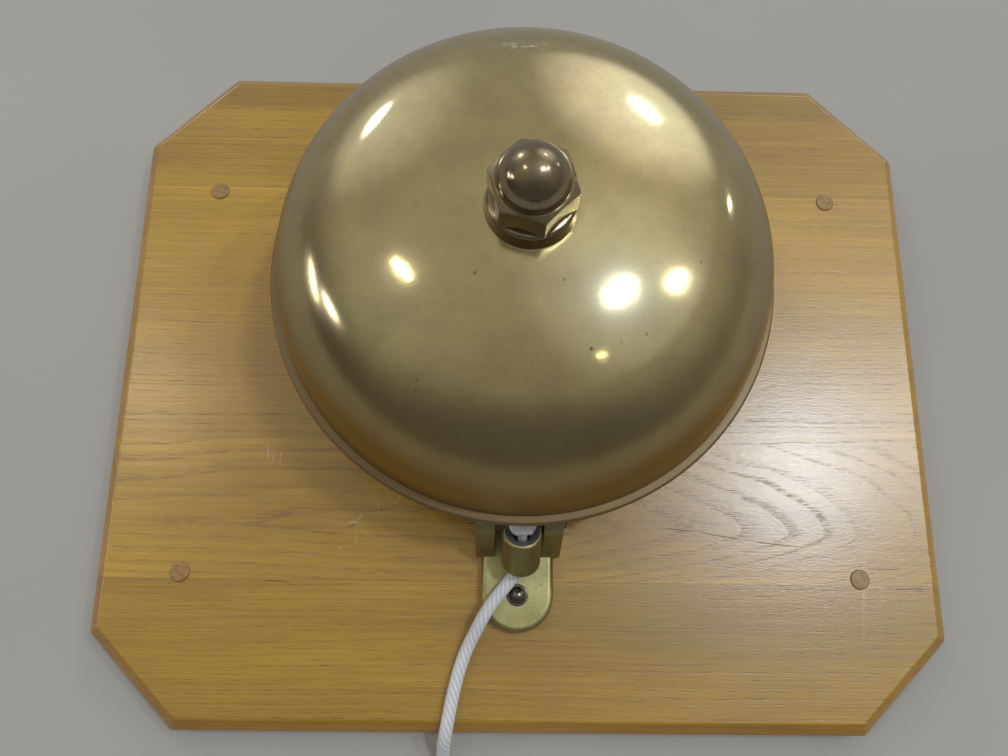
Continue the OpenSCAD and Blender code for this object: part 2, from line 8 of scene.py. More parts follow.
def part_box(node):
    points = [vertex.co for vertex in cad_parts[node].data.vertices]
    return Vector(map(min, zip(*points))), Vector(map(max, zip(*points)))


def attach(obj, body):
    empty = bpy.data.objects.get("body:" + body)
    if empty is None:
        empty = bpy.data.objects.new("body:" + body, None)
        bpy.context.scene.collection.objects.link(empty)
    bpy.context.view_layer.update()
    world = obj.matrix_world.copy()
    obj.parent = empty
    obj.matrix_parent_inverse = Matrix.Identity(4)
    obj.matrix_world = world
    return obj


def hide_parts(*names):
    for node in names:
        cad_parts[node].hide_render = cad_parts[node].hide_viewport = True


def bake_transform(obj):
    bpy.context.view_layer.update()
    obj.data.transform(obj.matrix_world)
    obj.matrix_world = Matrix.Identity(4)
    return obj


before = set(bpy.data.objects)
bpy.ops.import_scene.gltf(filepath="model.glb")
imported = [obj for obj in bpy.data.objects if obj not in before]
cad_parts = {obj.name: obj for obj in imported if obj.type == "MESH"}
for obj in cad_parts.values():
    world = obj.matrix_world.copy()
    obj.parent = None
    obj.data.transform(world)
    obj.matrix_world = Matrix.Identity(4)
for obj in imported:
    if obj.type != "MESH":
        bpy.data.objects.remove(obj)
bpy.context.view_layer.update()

MM = 0.001

# Camera: its place and turn, and a lens that takes in the whole board from close by
CAMERA_PLACE = Vector((-18.351, -112.453, 460.712)) * MM
CAMERA_TURN = [math.radians(a) for a in (14.0405, -1.1217, 0.6543)]
CAMERA_LENS = 28.571
CAMERA_SENSOR = 36.0

# Board of five equal strips. Edges this near a glue line stay sharp, and so do edges this short,
# which are those of the plug bores.
BOARD_FRONT = 19 * MM
BOARD_HALF_H = 190.5 * MM
STRIPS = 5
STRIP_H = 2 * BOARD_HALF_H / STRIPS
GLUE_LINE = 0.05 * MM
PLUG_BORE_EDGE = 3 * MM

# Bell's axis, the gong's profile, and into how many steps its curves are cut
BELL = Vector((-2.8, 38.5, 0)) * MM
RIM_Z = 77 * MM
GONG_R = 127 * MM
GONG_T = 5 * MM
LIP_H = 7 * MM
LIP_ROUND = 1.5 * MM
LIP_LEDGE = 1 * MM
SKIRT_R = 123 * MM
SKIRT_LEAN = math.radians(11)
SKIRT_L = 18 * MM
SHOULDER_R = 57 * MM
CROWN_R = 300 * MM
SEAT_R = 20 * MM
UNDER_SEAT_R = 25 * MM
STUD_HOLE_R = 9.75 * MM
LIP_STEPS = 6
SHOULDER_STEPS = 40
CROWN_STEPS = 20
GONG_SIDES = 256

# Crown collar, turned with a round upper edge and a small chamfer at its foot
COLLAR_Z = 155.6 * MM
COLLAR_H = 7.5 * MM
COLLAR_TOP_R = 19 * MM
COLLAR_ROUND = 2 * MM
COLLAR_CHAMFER = (0.4 * MM, 0.5 * MM)
COLLAR_STEPS = 8
COLLAR_SIDES = 128

# Lever's rope eye: its pivot, how far it leans back, how far it stands off the pivot, and its cup
EYE_PIVOT = Vector((-1.65, -81, 46)) * MM
EYE_LEAN = math.radians(35)
EYE_OFF = 14.7 * MM
EYE_TOP = 4.9 * MM
CUP_R = 8.6 * MM
CUP_H = 3.5 * MM

# Knot in the eye: its ball and how far its wraps reach, the width, direction, depth and painted shade
# of the gaps between them, and the stem that the eye's bore squeezes, painted dark as if in shadow
KNOT_R = 5 * MM
KNOT_REACH = 9 * MM
KNOT_FINE = 1.0 * MM
KNOT_WRAP = 3.4 * MM
KNOT_WRAP_WAY = (0.8, 0.5)
KNOT_DENT = 0.10
KNOT_SHADE = 0.30
KNOT_FOOT = 0.6 * MM
STEM_R = 3.4 * MM
STEM_SLACK = 0.9 * MM
STEM_SQUEEZE = 0.55
STEM_TAPER = 2 * MM

# Rope: the points that it follows from the lever's eye to its coil, in mm, the coil with its tail and
# end knot, and the braid
ROPE_D = 6.8 * MM
ROPE_R = ROPE_D / 2
ROPE_ROUTE = [
    (-1.8, -105.2, 37.1), (-3.0, -107.9, 34.4), (-4.6, -110.6, 32.6), (-6.7, -113.4, 31.5),
    (-9.1, -116.3, 31.0), (-11.7, -119.4, 30.8), (-14.3, -122.7, 30.7), (-16.9, -126.3, 30.6),
    (-19.4, -130.2, 30.2), (-22.1, -135.0, 28.6), (-24.7, -140.2, 26.2), (-27.3, -145.4, 24.0),
    (-29.6, -150.8, 22.9), (-31.7, -156.7, 22.7), (-33.5, -163.0, 22.7), (-35.7, -172.7, 22.7),
    (-37.3, -181.5, 22.6), (-38.4, -187.6, 21.4), (-39.2, -192.6, 18.4), (-39.8, -196.6, 14.0),
    (-40.2, -200.4, 9.6), (-40.6, -205.4, 6.2), (-41.0, -211.8, 4.5), (-41.5, -219.6, 4.2),
    (-42.6, -230.0, 4.2), (-43.8, -242.0, 4.2), (-44.3, -252.0, 4.2), (-44.4, -262.0, 4.2),
]
COIL_MIDDLE = Vector((3.6, -262.0, 4.2)) * MM
COIL_OUT_R = 48 * MM
COIL_PITCH = 7.2 * MM
COIL_TURNS = 3
COIL_STEPS = 60
TAIL_POINTS = 3
TAIL_DEGREES = 15
TAIL_INWARD = 2.4 * MM
TAIL_RISE = 0.5 * MM
END_KNOT_R = 7 * MM
END_KNOT_PLACE = Vector((-1.77, -276.75, 7.0)) * MM
END_KNOT_AXIS = Vector((0.3, 0.5, 0.81)).normalized()
END_KNOT_WRAPS = 5
END_KNOT_DENT = 0.22
ROPE_SIDES = 24
ROPE_STEP = 1.0 * MM
ROPE_CURVE_STEPS = 12
BRAID_PITCH = 26 * MM
BRAID_STRANDS = 28

# How near two points are merged, also where a spun piece closes, and the angles in degrees under
# which faces count as one, over which a corner is eased, and under which a corner is shaded smooth
MERGE = 0.002 * MM
SPUN_MERGE = 0.001 * MM
FLAT_WITHIN = 0.3
EASED_OVER = 28
SMOOTH_UNDER = 32


def place_camera():
    data = bpy.data.cameras.new("camera")
    data.sensor_width = CAMERA_SENSOR
    data.lens = CAMERA_LENS
    data.clip_start = 0.01
    camera = bpy.data.objects.new("camera", data)
    camera.location = CAMERA_PLACE
    camera.rotation_euler = CAMERA_TURN
    bpy.context.scene.collection.objects.link(camera)
    bpy.context.scene.camera = camera


class Nodes:
    """Short calls for the shader nodes that the finishes and the room share."""

    def __init__(self, tree):
        self.tree = tree

    def add(self, kind, **settings):
        node = self.tree.nodes.new(kind)
        for name, value in settings.items():
            setattr(node, name, value)
        return node

    def feed(self, socket, value):
        if isinstance(value, bpy.types.NodeSocket):
            self.tree.links.new(value, socket)
        else:
            socket.default_value = value

    def noise(self, vector, scale, detail=3.0, rough=0.5, distort=0.0):
        node = self.add("ShaderNodeTexNoise")
        self.feed(node.inputs["Vector"], vector)
        self.feed(node.inputs["Scale"], scale)
        self.feed(node.inputs["Detail"], detail)
        self.feed(node.inputs["Roughness"], rough)
        self.feed(node.inputs["Distortion"], distort)
        return node.outputs["Fac"]

    def specks(self, vector, scale):
        node = self.add("ShaderNodeTexVoronoi")
        self.feed(node.inputs["Vector"], vector)
        self.feed(node.inputs["Scale"], scale)
        return node.outputs["Distance"], node.outputs["Color"]

    def math(self, operation, a, b=0.0):
        node = self.add("ShaderNodeMath", operation=operation)
        self.feed(node.inputs[0], a)
        self.feed(node.inputs[1], b)
        return node.outputs[0]

    def span(self, value, low, high, out_low=0.0, out_high=1.0, smooth=False):
        """The value carried from one span to another, and held at both its ends."""
        kind = "SMOOTHSTEP" if smooth else "LINEAR"
        node = self.add("ShaderNodeMapRange", interpolation_type=kind)
        self.feed(node.inputs["Value"], value)
        self.feed(node.inputs["From Min"], low)
        self.feed(node.inputs["From Max"], high)
        self.feed(node.inputs["To Min"], out_low)
        self.feed(node.inputs["To Max"], out_high)
        return node.outputs["Result"]

    def ramp(self, value, *stops):
        node = self.add("ShaderNodeValToRGB")
        self.feed(node.inputs["Fac"], value)
        marks = node.color_ramp.elements
        while len(marks) < len(stops):
            marks.new(1.0)
        for mark, (at, colour) in zip(marks, stops):
            mark.position = at
            mark.color = (*colour, 1)
        return node.outputs["Color"]

    def mix(self, amount, a, b, blend="MIX"):
        node = self.add("ShaderNodeMix", data_type="RGBA", blend_type=blend)
        self.feed(node.inputs["Factor"], amount)
        self.feed(node.inputs["A"], a if isinstance(a, bpy.types.NodeSocket) else (*a, 1))
        self.feed(node.inputs["B"], b if isinstance(b, bpy.types.NodeSocket) else (*b, 1))
        return node.outputs["Result"]

    def parts(self, vector):
        node = self.add("ShaderNodeSeparateXYZ")
        self.feed(node.inputs[0], vector)
        return node.outputs

    def vector(self, x, y, z):
        node = self.add("ShaderNodeCombineXYZ")
        for socket, value in zip(node.inputs, (x, y, z)):
            self.feed(socket, value)
        return node.outputs[0]

    def bump(self, height, distance, strength=1.0, under=None):
        node = self.add("ShaderNodeBump")
        self.feed(node.inputs["Height"], height)
        self.feed(node.inputs["Distance"], distance)
        self.feed(node.inputs["Strength"], strength)
        if under is not None:
            self.feed(node.inputs["Normal"], under)
        return node.outputs["Normal"]


class Recipe(Nodes):
    """One finish: its shader, and the place of each point of the piece that wears it."""

    def __init__(self, material):
        super().__init__(material.node_tree)
        self.material = material
        self.shader = self.tree.nodes["Principled BSDF"]
        self.place = self.add("ShaderNodeTexCoord").outputs["Object"]

    def put(self, **values):
        """Sets the shader's inputs, their names written with underscores."""
        for name, value in values.items():
            self.feed(self.shader.inputs[name.replace("_", " ")], value)

    def moved(self, vector=None, place=(0, 0, 0), turn=(0, 0, 0), scale=(1, 1, 1)):
        node = self.add("ShaderNodeMapping")
        self.feed(node.inputs["Vector"], self.place if vector is None else vector)
        self.feed(node.inputs["Location"], place)
        self.feed(node.inputs["Rotation"], turn)
        self.feed(node.inputs["Scale"], scale)
        return node.outputs["Vector"]


def new_finish(name):
    material = bpy.data.materials.new(name)
    material.use_nodes = True
    return Recipe(material)


# Oak of each strip, from the top: the heart of its log below the face (off the strip's middle line
# and down), the log's slope in degrees, the width of its rings, the part of a ring that is dark early
# wood, how far the rings wander, how much deeper the heart lies at the right-hand end, and the
# strip's tone. The top strip is darker above a height on the board. Lengths are in mm.
OAK_LOGS = [
    {"heart": (88, -62), "slope": (0.4, -0.3), "ring": 2.3, "early": 0.34, "wander": 11, "sink": 0,
     "tone": 0.94, "dark_above": 166},
    {"heart": (96, -60), "slope": (-0.4, 0.4), "ring": 2.0, "early": 0.34, "wander": 8, "sink": 0,
     "tone": 1.12},
    {"heart": (-84, -60), "slope": (0.3, 0.3), "ring": 2.4, "early": 0.34, "wander": 11, "sink": 0,
     "tone": 1.07},
    {"heart": (-11, -92), "slope": (0.5, 0.6), "ring": 3.0, "early": 0.50, "wander": 16, "sink": 26,
     "tone": 1.05},
    {"heart": (-92, -58), "slope": (-0.4, -0.3), "ring": 2.0, "early": 0.34, "wander": 9, "sink": 0,
     "tone": 0.92},
]
OAK_EARLY = (0.300, 0.130, 0.034)
OAK_MIDDLE = (0.405, 0.220, 0.012)
OAK_LATE = (0.560, 0.332, 0.024)
OAK_PORE = (0.165, 0.072, 0.020)
OAK_CLOUD = (0.365, 0.190, 0.026)
OAK_SCUFFED = (0.70, 0.62, 0.50)
OAK_CRACK = (0.07, 0.032, 0.014)
CHAMFER_STAIN = (1.00, 0.86, 0.58)
# Arched lines of the strip whose log dips: how wide their nose is, how blunt, and how much closer the
# lines run below it
OAK_NOSE = 40 * MM
OAK_BLUNT = 0.70
OAK_BELOW = 1.9
OAK_RIPPLE = 0.9 * MM


def oak_rings(recipe, log, seed, middle_y):
    """Distance from the heart of the log, counted in rings, with the slow waves that a tree has."""
    start = (seed * 3.7, seed * 1.9, 0)
    drift = recipe.noise(recipe.moved(place=start, scale=(4.5, 12, 12)), 1.0, 2.0, 0.4)
    lift = recipe.math("MULTIPLY", recipe.math("SUBTRACT", drift, 0.5), log["wander"] * MM)
    ripple = recipe.noise(recipe.moved(place=start, scale=(28, 60, 60)), 1.0, 1.0)
    ripple = recipe.math("MULTIPLY", recipe.math("SUBTRACT", ripple, 0.5), OAK_RIPPLE)
    lift = recipe.math("ADD", lift, ripple)
    off, down = log["heart"]
    turn = (0, math.radians(log["slope"][0]), math.radians(log["slope"][1]))
    place = (0, -middle_y - off * MM, -BOARD_FRONT - down * MM)
    at = recipe.parts(recipe.moved(place=place, turn=turn))
    along = recipe.parts(recipe.place)["X"]
    sink = recipe.span(along, 10 * MM, 235 * MM, 0, log["sink"] * MM)
    deep = recipe.math("ADD", recipe.math("ADD", at["Z"], lift), sink)
    side = recipe.math("ADD", at["Y"], recipe.math("MULTIPLY", lift, 0.6))
    if log["sink"]:
        side = recipe.math("MULTIPLY", side, recipe.span(side, -0.1 * MM, 0.1 * MM, OAK_BELOW, 1.0))
        near = recipe.math("DIVIDE", recipe.math("ABSOLUTE", side), OAK_NOSE)
        side = recipe.math("MULTIPLY", recipe.math("POWER", near, OAK_BLUNT), OAK_NOSE)
    deep = recipe.math("MULTIPLY", deep, deep)
    square = recipe.math("ADD", deep, recipe.math("MULTIPLY", side, side))
    return recipe.math("DIVIDE", recipe.math("SQRT", square), log["ring"] * MM)


def oak_early(recipe, log, seed, rings):
    """Dark early wood at the start of each ring, stronger in some rings, broken into dashes."""
    uneven = recipe.noise(recipe.vector(rings, seed * 9.0, 0.0), 0.45, 2.0)
    rings = recipe.math("ADD", rings, recipe.math("MULTIPLY", uneven, 3.0))
    phase = recipe.math("FRACT", rings)
    which = recipe.add("ShaderNodeTexWhiteNoise", noise_dimensions="1D")
    recipe.feed(which.inputs["W"], recipe.math("FLOOR", rings))
    strength = recipe.span(which.outputs["Value"], 0, 1, 0.3, 1.0)
    early = recipe.span(phase, 0.0, log["early"], 1.0, 0.0, True)
    edge = recipe.span(phase, 0.95, 1.0, 0.0, 1.0)
    early = recipe.math("MULTIPLY", recipe.math("MAXIMUM", early, edge), strength)
    rows = recipe.noise(recipe.moved(place=(0, seed, seed), scale=(70, 1100, 1100)), 1.0, 3.0, 0.65)
    return recipe.math("MULTIPLY", early, recipe.span(rows, 0.40, 0.60, 0.10, 1.0))


def oak_pores(recipe, seed, early):
    """Short open pores along the grain, most of them in the early wood."""
    dash = recipe.noise(recipe.moved(place=(seed, 0, 0), scale=(150, 2300, 2300)), 1.0, 2.0, 0.6)
    pores = recipe.span(dash, 0.46, 0.60)
    return recipe.math("MULTIPLY", pores, recipe.span(early, 0.05, 0.5, 0.12, 1.0))


def oak_tone(recipe, log, seed):
    """How light the strip is, with broad soft bands, as a grey to multiply by."""
    broad = recipe.noise(recipe.moved(place=(seed * 7, 0, 0), scale=(5, 40, 40)), 1.0, 3.0)
    tone = recipe.math("MULTIPLY", recipe.span(broad, 0.3, 0.7, 0.84, 1.12), log["tone"])
    if "dark_above" in log:
        edge_y = log["dark_above"] * MM
        height = recipe.parts(recipe.place)["Y"]
        tone = recipe.math("MULTIPLY", tone, recipe.span(height, edge_y, edge_y + 4 * MM, 1.0, 0.80))
    return recipe.vector(tone, tone, tone)


def oak(index):
    """Varnished oak: growth rings round a log's heart, rows of open pores and a worn satin varnish."""
    log = OAK_LOGS[index]
    seed = index + 1
    recipe = new_finish(f"oak_{seed}")
    middle_y = BOARD_HALF_H - (index + 0.5) * STRIP_H
    early = oak_early(recipe, log, seed, oak_rings(recipe, log, seed, middle_y))
    pores = oak_pores(recipe, seed, early)

    fibre = recipe.noise(recipe.moved(place=(seed, seed, 0), scale=(11, 420, 420)), 1.0, 4.0, 0.72)
    patch = recipe.noise(recipe.moved(place=(seed, 0, 0), scale=(9, 16, 16)), 1.0, 2.0)
    wood = recipe.mix(recipe.span(fibre, 0.30, 0.70), OAK_MIDDLE, OAK_LATE)
    wood = recipe.mix(recipe.span(patch, 0.45, 0.75, 0.0, 0.5), wood, OAK_CLOUD)
    wood = recipe.mix(recipe.math("MULTIPLY", early, 0.60), wood, OAK_EARLY)
    wood = recipe.mix(recipe.math("MULTIPLY", pores, 0.60), wood, OAK_PORE)
    wood = recipe.mix(1.0, wood, oak_tone(recipe, log, seed), "MULTIPLY")
    wood = recipe.mix(oak_joints(recipe, middle_y), wood, OAK_PORE)
    slant = oak_slant(recipe)
    wood = recipe.mix(slant, wood, recipe.mix(1.0, wood, CHAMFER_STAIN, "MULTIPLY"))
    scuffed, cracked = oak_scuffs(recipe)
    wood = recipe.mix(scuffed, wood, OAK_SCUFFED)
    wood = recipe.mix(recipe.math("MULTIPLY", cracked, 0.85), wood, OAK_CRACK)

    rough = recipe.span(recipe.noise(recipe.place, 26, 3.0), 0.3, 0.7, 0.34, 0.44)
    sunk = recipe.math("MULTIPLY", pores, -0.8)
    sunk = recipe.math("ADD", sunk, recipe.math("MULTIPLY", early, -0.3))
    sunk = recipe.math("SUBTRACT", sunk, recipe.math("MULTIPLY", cracked, 2.0))
    peel = recipe.noise(recipe.moved(scale=(300, 1300, 1300)), 1.0, 2.0)
    grain = recipe.bump(sunk, 0.10 * MM, 0.5)
    skin = recipe.bump(peel, 0.10 * MM, 0.42, recipe.bump(sunk, 0.06 * MM, 0.35))
    recipe.put(Base_Color=wood, Roughness=rough, Normal=grain, Coat_Normal=skin)
    recipe.put(Coat_Weight=recipe.span(slant, 0, 1, 1.0, 0.50), Coat_Roughness=0.25, Coat_IOR=1.6)
    recipe.put(Specular_IOR_Level=0.36)
    return recipe.material


def oak_joints(recipe, middle_y):
    """A hairline along both glued edges of a strip."""
    off = recipe.math("ABSOLUTE", recipe.math("SUBTRACT", recipe.parts(recipe.place)["Y"], middle_y))
    line = recipe.span(off, STRIP_H / 2 - 0.35 * MM, STRIP_H / 2 - 0.05 * MM, 0.0, 0.55)
    broken = recipe.span(recipe.noise(recipe.moved(scale=(30, 5, 5)), 1.0, 2.0), 0.35, 0.65, 0.3, 1.0)
    outer = recipe.span(off, STRIP_H / 2 + 1 * MM, STRIP_H / 2 + 2 * MM, 1.0, 0.0)
    return recipe.math("MULTIPLY", recipe.math("MULTIPLY", line, broken), outer)


def oak_slant(recipe):
    """How far a face turns from the front: the chamfer and the edges took a browner stain."""
    facing = recipe.add("ShaderNodeTexCoord").outputs["Normal"]
    return recipe.span(recipe.parts(facing)["Z"], 0.95, 0.75, 0.0, 1.0)


# Scuffs and cracks on the board's face: middle, half length and half width, and turn in degrees
SCUFFS = [
    ((-141, -47), (6, 0.5), 96), ((-138, -50), (5, 0.4), 80), ((-134, -49), (5, 0.35), 88),
    ((-92, -84), (3.5, 0.6), 12), ((-88.5, -81), (3.5, 0.5), 55), ((-90, -92.5), (2.6, 0.45), 86),
    ((-98, -98), (2.6, 0.4), 62), ((-78.5, -75), (3.4, 0.35), 84), ((-68.5, -71.5), (3.4, 0.55), 48),
]
CRACKS = [
    ((210, -115.9), (15, 0.40), 0), ((196, -105.5), (13, 0.30), 0), ((-131, -115.3), (9, 0.40), -2),
    ((-92, -85.5), (2.6, 0.5), 25),
    ((86, -85.9), (12, 0.28), -5), ((109, -89.0), (14, 0.28), -9), ((139, -93.0), (18, 0.28), -6),
]


def marks_on_face(recipe, marks):
    """A mask of short thin marks on the board's face."""
    found = 0.0
    for (x, y), (half_l, half_w), degrees in marks:
        turn = math.radians(degrees)
        cos, sin = math.cos(-turn), math.sin(-turn)
        place = (-(cos * x - sin * y) * MM, -(sin * x + cos * y) * MM, 0)
        at = recipe.parts(recipe.moved(place=place, turn=(0, 0, -turn)))
        long = recipe.span(recipe.math("ABSOLUTE", at["X"]), half_l * MM * 0.4, half_l * MM, 1.0, 0.0)
        thin = recipe.span(recipe.math("ABSOLUTE", at["Y"]), half_w * MM * 0.3, half_w * MM, 1.0, 0.0)
        found = recipe.math("MAXIMUM", found, recipe.math("MULTIPLY", long, thin))
    return found


def oak_scuffs(recipe):
    """How scuffed and how cracked the board's face is at each point."""
    broken = recipe.span(recipe.noise(recipe.place, 900, 2.0), 0.35, 0.6)
    scuffs = recipe.math("MULTIPLY", marks_on_face(recipe, SCUFFS), broken)
    return recipe.math("MULTIPLY", scuffs, 0.75), marks_on_face(recipe, CRACKS)


PLUG_PALE = (0.54, 0.330, 0.100)
PLUG_DARK = (0.22, 0.115, 0.035)
PLUG_MOTTLE = (0.22, 0.105, 0.035)


def plug_wood():
    """End grain of the plugs, pinkish brown with darker clouds."""
    recipe = new_finish("plug_wood")
    grain = recipe.noise(recipe.moved(turn=(0, 0, 0.6), scale=(400, 1900, 900)), 1.0, 3.0)
    mottle = recipe.noise(recipe.place, 260, 3.0)
    wood = recipe.ramp(grain, (0.3, PLUG_DARK), (0.7, PLUG_PALE))
    wood = recipe.mix(recipe.span(mottle, 0.4, 0.7, 0, 0.5), wood, PLUG_MOTTLE)
    recipe.put(Base_Color=wood, Roughness=0.5, Normal=recipe.bump(grain, 0.2 * MM, 0.4))
    recipe.put(Coat_Weight=0.3, Coat_Roughness=0.25)
    return recipe.material


BRASS_CLOUDS = [
    (0.30, (0.50, 0.405, 0.185)), (0.52, (0.56, 0.475, 0.225)), (0.72, (0.50, 0.455, 0.215)),
]
BRASS_MOTTLE = (0.40, 0.315, 0.165)
BRASS_GRAIN = (0.34, 0.285, 0.16)
BRASS_LOW_SHADE = (0.285, 0.190, 0.058)
BRASS_LIP = (0.270, 0.200, 0.105)
BRASS_SPECK = (0.10, 0.075, 0.045)
BRASS_RUBBED = (0.86, 0.82, 0.66)
# Heights between which the gong turns from lacquered to bare and rough, and its colour to a darker
# painted shade, and how far from its axis the dull ring round the collar ends
LACQUERED_AND_LIT_Z = 150 * MM
BARE_AND_SHADED_Z = 108 * MM
DULL_RING = (21 * MM, 36 * MM)
# Rubbed streak over the gong's top shoulder: its ends, and its half width where it is full and where
# it ends
CROWN_SCUFF = (Vector((-20, 123, 143)) * MM, Vector((7, 124, 142)) * MM)
SCUFF_WIDTH = (1.2 * MM, 3.0 * MM)


def from_axis(recipe):
    """Distance from the bell's axis."""
    flat = recipe.moved(place=(-BELL.x, -BELL.y, 0), scale=(1, 1, 0))
    out = recipe.add("ShaderNodeVectorMath", operation="LENGTH")
    recipe.feed(out.inputs[0], flat)
    return out.outputs["Value"]


def aged_brass():
    """Old lacquered brass gone olive, with brown clouds, dark specks, fine spinning lines and painted
    shade low down.
    """
    recipe = new_finish("aged_brass")
    clouds = recipe.noise(recipe.place, 9, 4.0, 0.55, 0.4)
    mottle = recipe.noise(recipe.place, 70, 5.0, 0.62)
    fine = recipe.noise(recipe.place, 620, 3.0, 0.6)
    colour = recipe.ramp(clouds, *BRASS_CLOUDS)
    colour = recipe.mix(recipe.span(mottle, 0.42, 0.74, 0, 0.55), colour, BRASS_MOTTLE)
    colour = recipe.mix(recipe.span(fine, 0.56, 0.75, 0, 0.35), colour, BRASS_GRAIN)
    height = recipe.parts(recipe.place)["Z"]
    low = recipe.span(height, LACQUERED_AND_LIT_Z, BARE_AND_SHADED_Z, 0, 1, True)
    # Painted shade: the gong's lower shoulder and skirt are darkened towards brown
    colour = recipe.mix(recipe.math("MULTIPLY", low, 0.95), colour, BRASS_LOW_SHADE)
    lip = recipe.span(height, RIM_Z + LIP_H, RIM_Z + LIP_H - LIP_LEDGE, 0.0, 1.0)
    colour = recipe.mix(recipe.math("MULTIPLY", lip, 0.9), colour, BRASS_LIP)
    far, tint = recipe.specks(recipe.place, 85)
    chosen = recipe.span(recipe.parts(tint)["X"], 0.80, 0.82)
    speck = recipe.math("MULTIPLY", recipe.span(far, 0.035, 0.09, 1, 0), chosen)
    colour = recipe.mix(recipe.math("MULTIPLY", speck, 0.85), colour, BRASS_SPECK)
    rub = crown_rub(recipe)
    colour = recipe.mix(rub, colour, BRASS_RUBBED)

    out = from_axis(recipe)
    lines = recipe.noise(recipe.vector(out, 0.0, 0.0), 1400, 2.0)
    rough = recipe.span(clouds, 0.3, 0.7, 0.05, 0.075)
    rough = recipe.math("ADD", rough, recipe.span(mottle, 0.4, 0.8, 0, 0.03))
    rough = recipe.math("ADD", rough, recipe.span(out, *DULL_RING, 0.14, 0.0))
    rough = recipe.math("ADD", rough, recipe.math("MULTIPLY", low, 0.42))
    rough = recipe.math("ADD", rough, recipe.math("MULTIPLY", lip, 0.10))
    rough = recipe.math("ADD", rough, recipe.math("MULTIPLY", rub, 0.3))
    uneven = recipe.bump(recipe.noise(recipe.place, 14, 2.0), 2.0 * MM, 0.10)
    spun = recipe.bump(lines, 0.02 * MM, 0.15, uneven)
    pitted = recipe.bump(recipe.math("SUBTRACT", fine, speck), 0.03 * MM, 0.15, spun)
    recipe.put(Base_Color=colour, Roughness=rough, Normal=pitted)
    worn = recipe.math("MAXIMUM", recipe.math("MULTIPLY", low, 0.8), lip)
    recipe.put(Metallic=1.0, Coat_Weight=recipe.span(worn, 0, 1, 0.50, 0.05))
    recipe.put(Coat_Roughness=0.22, Coat_IOR=1.6)
    return recipe.material


def crown_rub(recipe):
    """Where the lacquer is rubbed through, a broken pale streak over the top shoulder."""
    start, end = CROWN_SCUFF
    middle = (start + end) / 2
    half = (end - start).length / 2
    at = recipe.parts(recipe.moved(place=tuple(-middle)))
    long = recipe.span(recipe.math("ABSOLUTE", at["X"]), half * 0.7, half, 1, 0)
    thin = recipe.span(recipe.math("ABSOLUTE", at["Y"]), *SCUFF_WIDTH, 1, 0)
    broken = recipe.span(recipe.noise(recipe.moved(scale=(220, 900, 900)), 1.0, 3.0), 0.50, 0.62)
    streak = recipe.math("MULTIPLY", long, thin)
    return recipe.math("MULTIPLY", streak, recipe.math("MULTIPLY", broken, 0.9))


# Cast, turned and drawn metals: their polished and dull colours, the dirt in their pits, how rough
# they are, and how much lacquer is left on them
METALS = {
    "bronze": ((0.33, 0.270, 0.160), (0.24, 0.185, 0.105), (0.09, 0.07, 0.04), 0.10, 0.3),
    "bracket_brass": ((0.50, 0.455, 0.225), (0.385, 0.350, 0.155), (0.19, 0.15, 0.07), 0.42, 0.0),
    "lever_brass": ((0.32, 0.30, 0.135), (0.23, 0.215, 0.095), (0.10, 0.08, 0.04), 0.42, 0.0),
    "dark_steel": ((0.24, 0.215, 0.19), (0.14, 0.12, 0.105), (0.06, 0.045, 0.035), 0.20, 0.0),
    "spring_steel": ((0.50, 0.49, 0.47), (0.34, 0.33, 0.31), (0.12, 0.11, 0.10), 0.25, 0.0),
}
# Painted shade on the bracket's ears, under the gong's overhang: the heights between which it sets in,
# and its colour
EAR_SHADE_Z = (27.5 * MM, 31 * MM)
EAR_SHADE = (0.34, 0.300, 0.150)


def worn_metal(name, shaded_ears=False):
    """Worked metal: polished and dull clouds, dirt in its pits, fine streaks, and, where asked, painted
    shade higher up.
    """
    bright, dull, dirt, rough, lacquer = METALS[name]
    recipe = new_finish(name)
    clouds = recipe.noise(recipe.place, 40, 4.0, 0.6)
    pits = recipe.noise(recipe.place, 420, 4.0, 0.65)
    streaks = recipe.noise(recipe.moved(scale=(300, 1400, 500)), 1.0, 2.0)
    colour = recipe.ramp(clouds, (0.34, dull), (0.66, bright))
    colour = recipe.mix(recipe.span(pits, 0.56, 0.78, 0, 0.7), colour, dirt)
    if shaded_ears:
        # Painted shade: the ears are darkened above a height, as under the gong's overhang
        above = recipe.span(recipe.parts(recipe.place)["Z"], *EAR_SHADE_Z, 0.0, 0.85)
        colour = recipe.mix(above, colour, EAR_SHADE)
    spread = recipe.span(clouds, 0.3, 0.7, rough + 0.10, rough)
    spread = recipe.math("ADD", spread, recipe.span(streaks, 0.35, 0.7, -0.03, 0.07))
    skin = recipe.bump(pits, 0.10 * MM, 0.25)
    recipe.put(Base_Color=colour, Roughness=spread, Normal=recipe.bump(streaks, 0.02 * MM, 0.2, skin))
    recipe.put(Metallic=1.0, Coat_Weight=lacquer, Coat_Roughness=0.10)
    return recipe.material


def eye_place(recipe):
    """Distance from the axis of the lever's eye and height over its mouth, in the lever's frame."""
    centre = EYE_PIVOT + Matrix.Rotation(-EYE_LEAN, 3, "X") @ Vector((0, -EYE_OFF, EYE_TOP))
    at = recipe.add("ShaderNodeVectorMath", operation="SUBTRACT")
    recipe.feed(at.inputs[0], recipe.place)
    recipe.feed(at.inputs[1], tuple(centre))
    turned = recipe.parts(recipe.moved(at.outputs[0], turn=(EYE_LEAN, 0, 0)))
    square_x = recipe.math("MULTIPLY", turned["X"], turned["X"])
    square_y = recipe.math("MULTIPLY", turned["Y"], turned["Y"])
    return recipe.math("SQRT", recipe.math("ADD", square_x, square_y)), turned["Z"]


CUP_REFLECTION_GREY = (0.42, 0.43, 0.42)
CUP_RIM_HIGHLIGHT = (0.78, 0.74, 0.36)


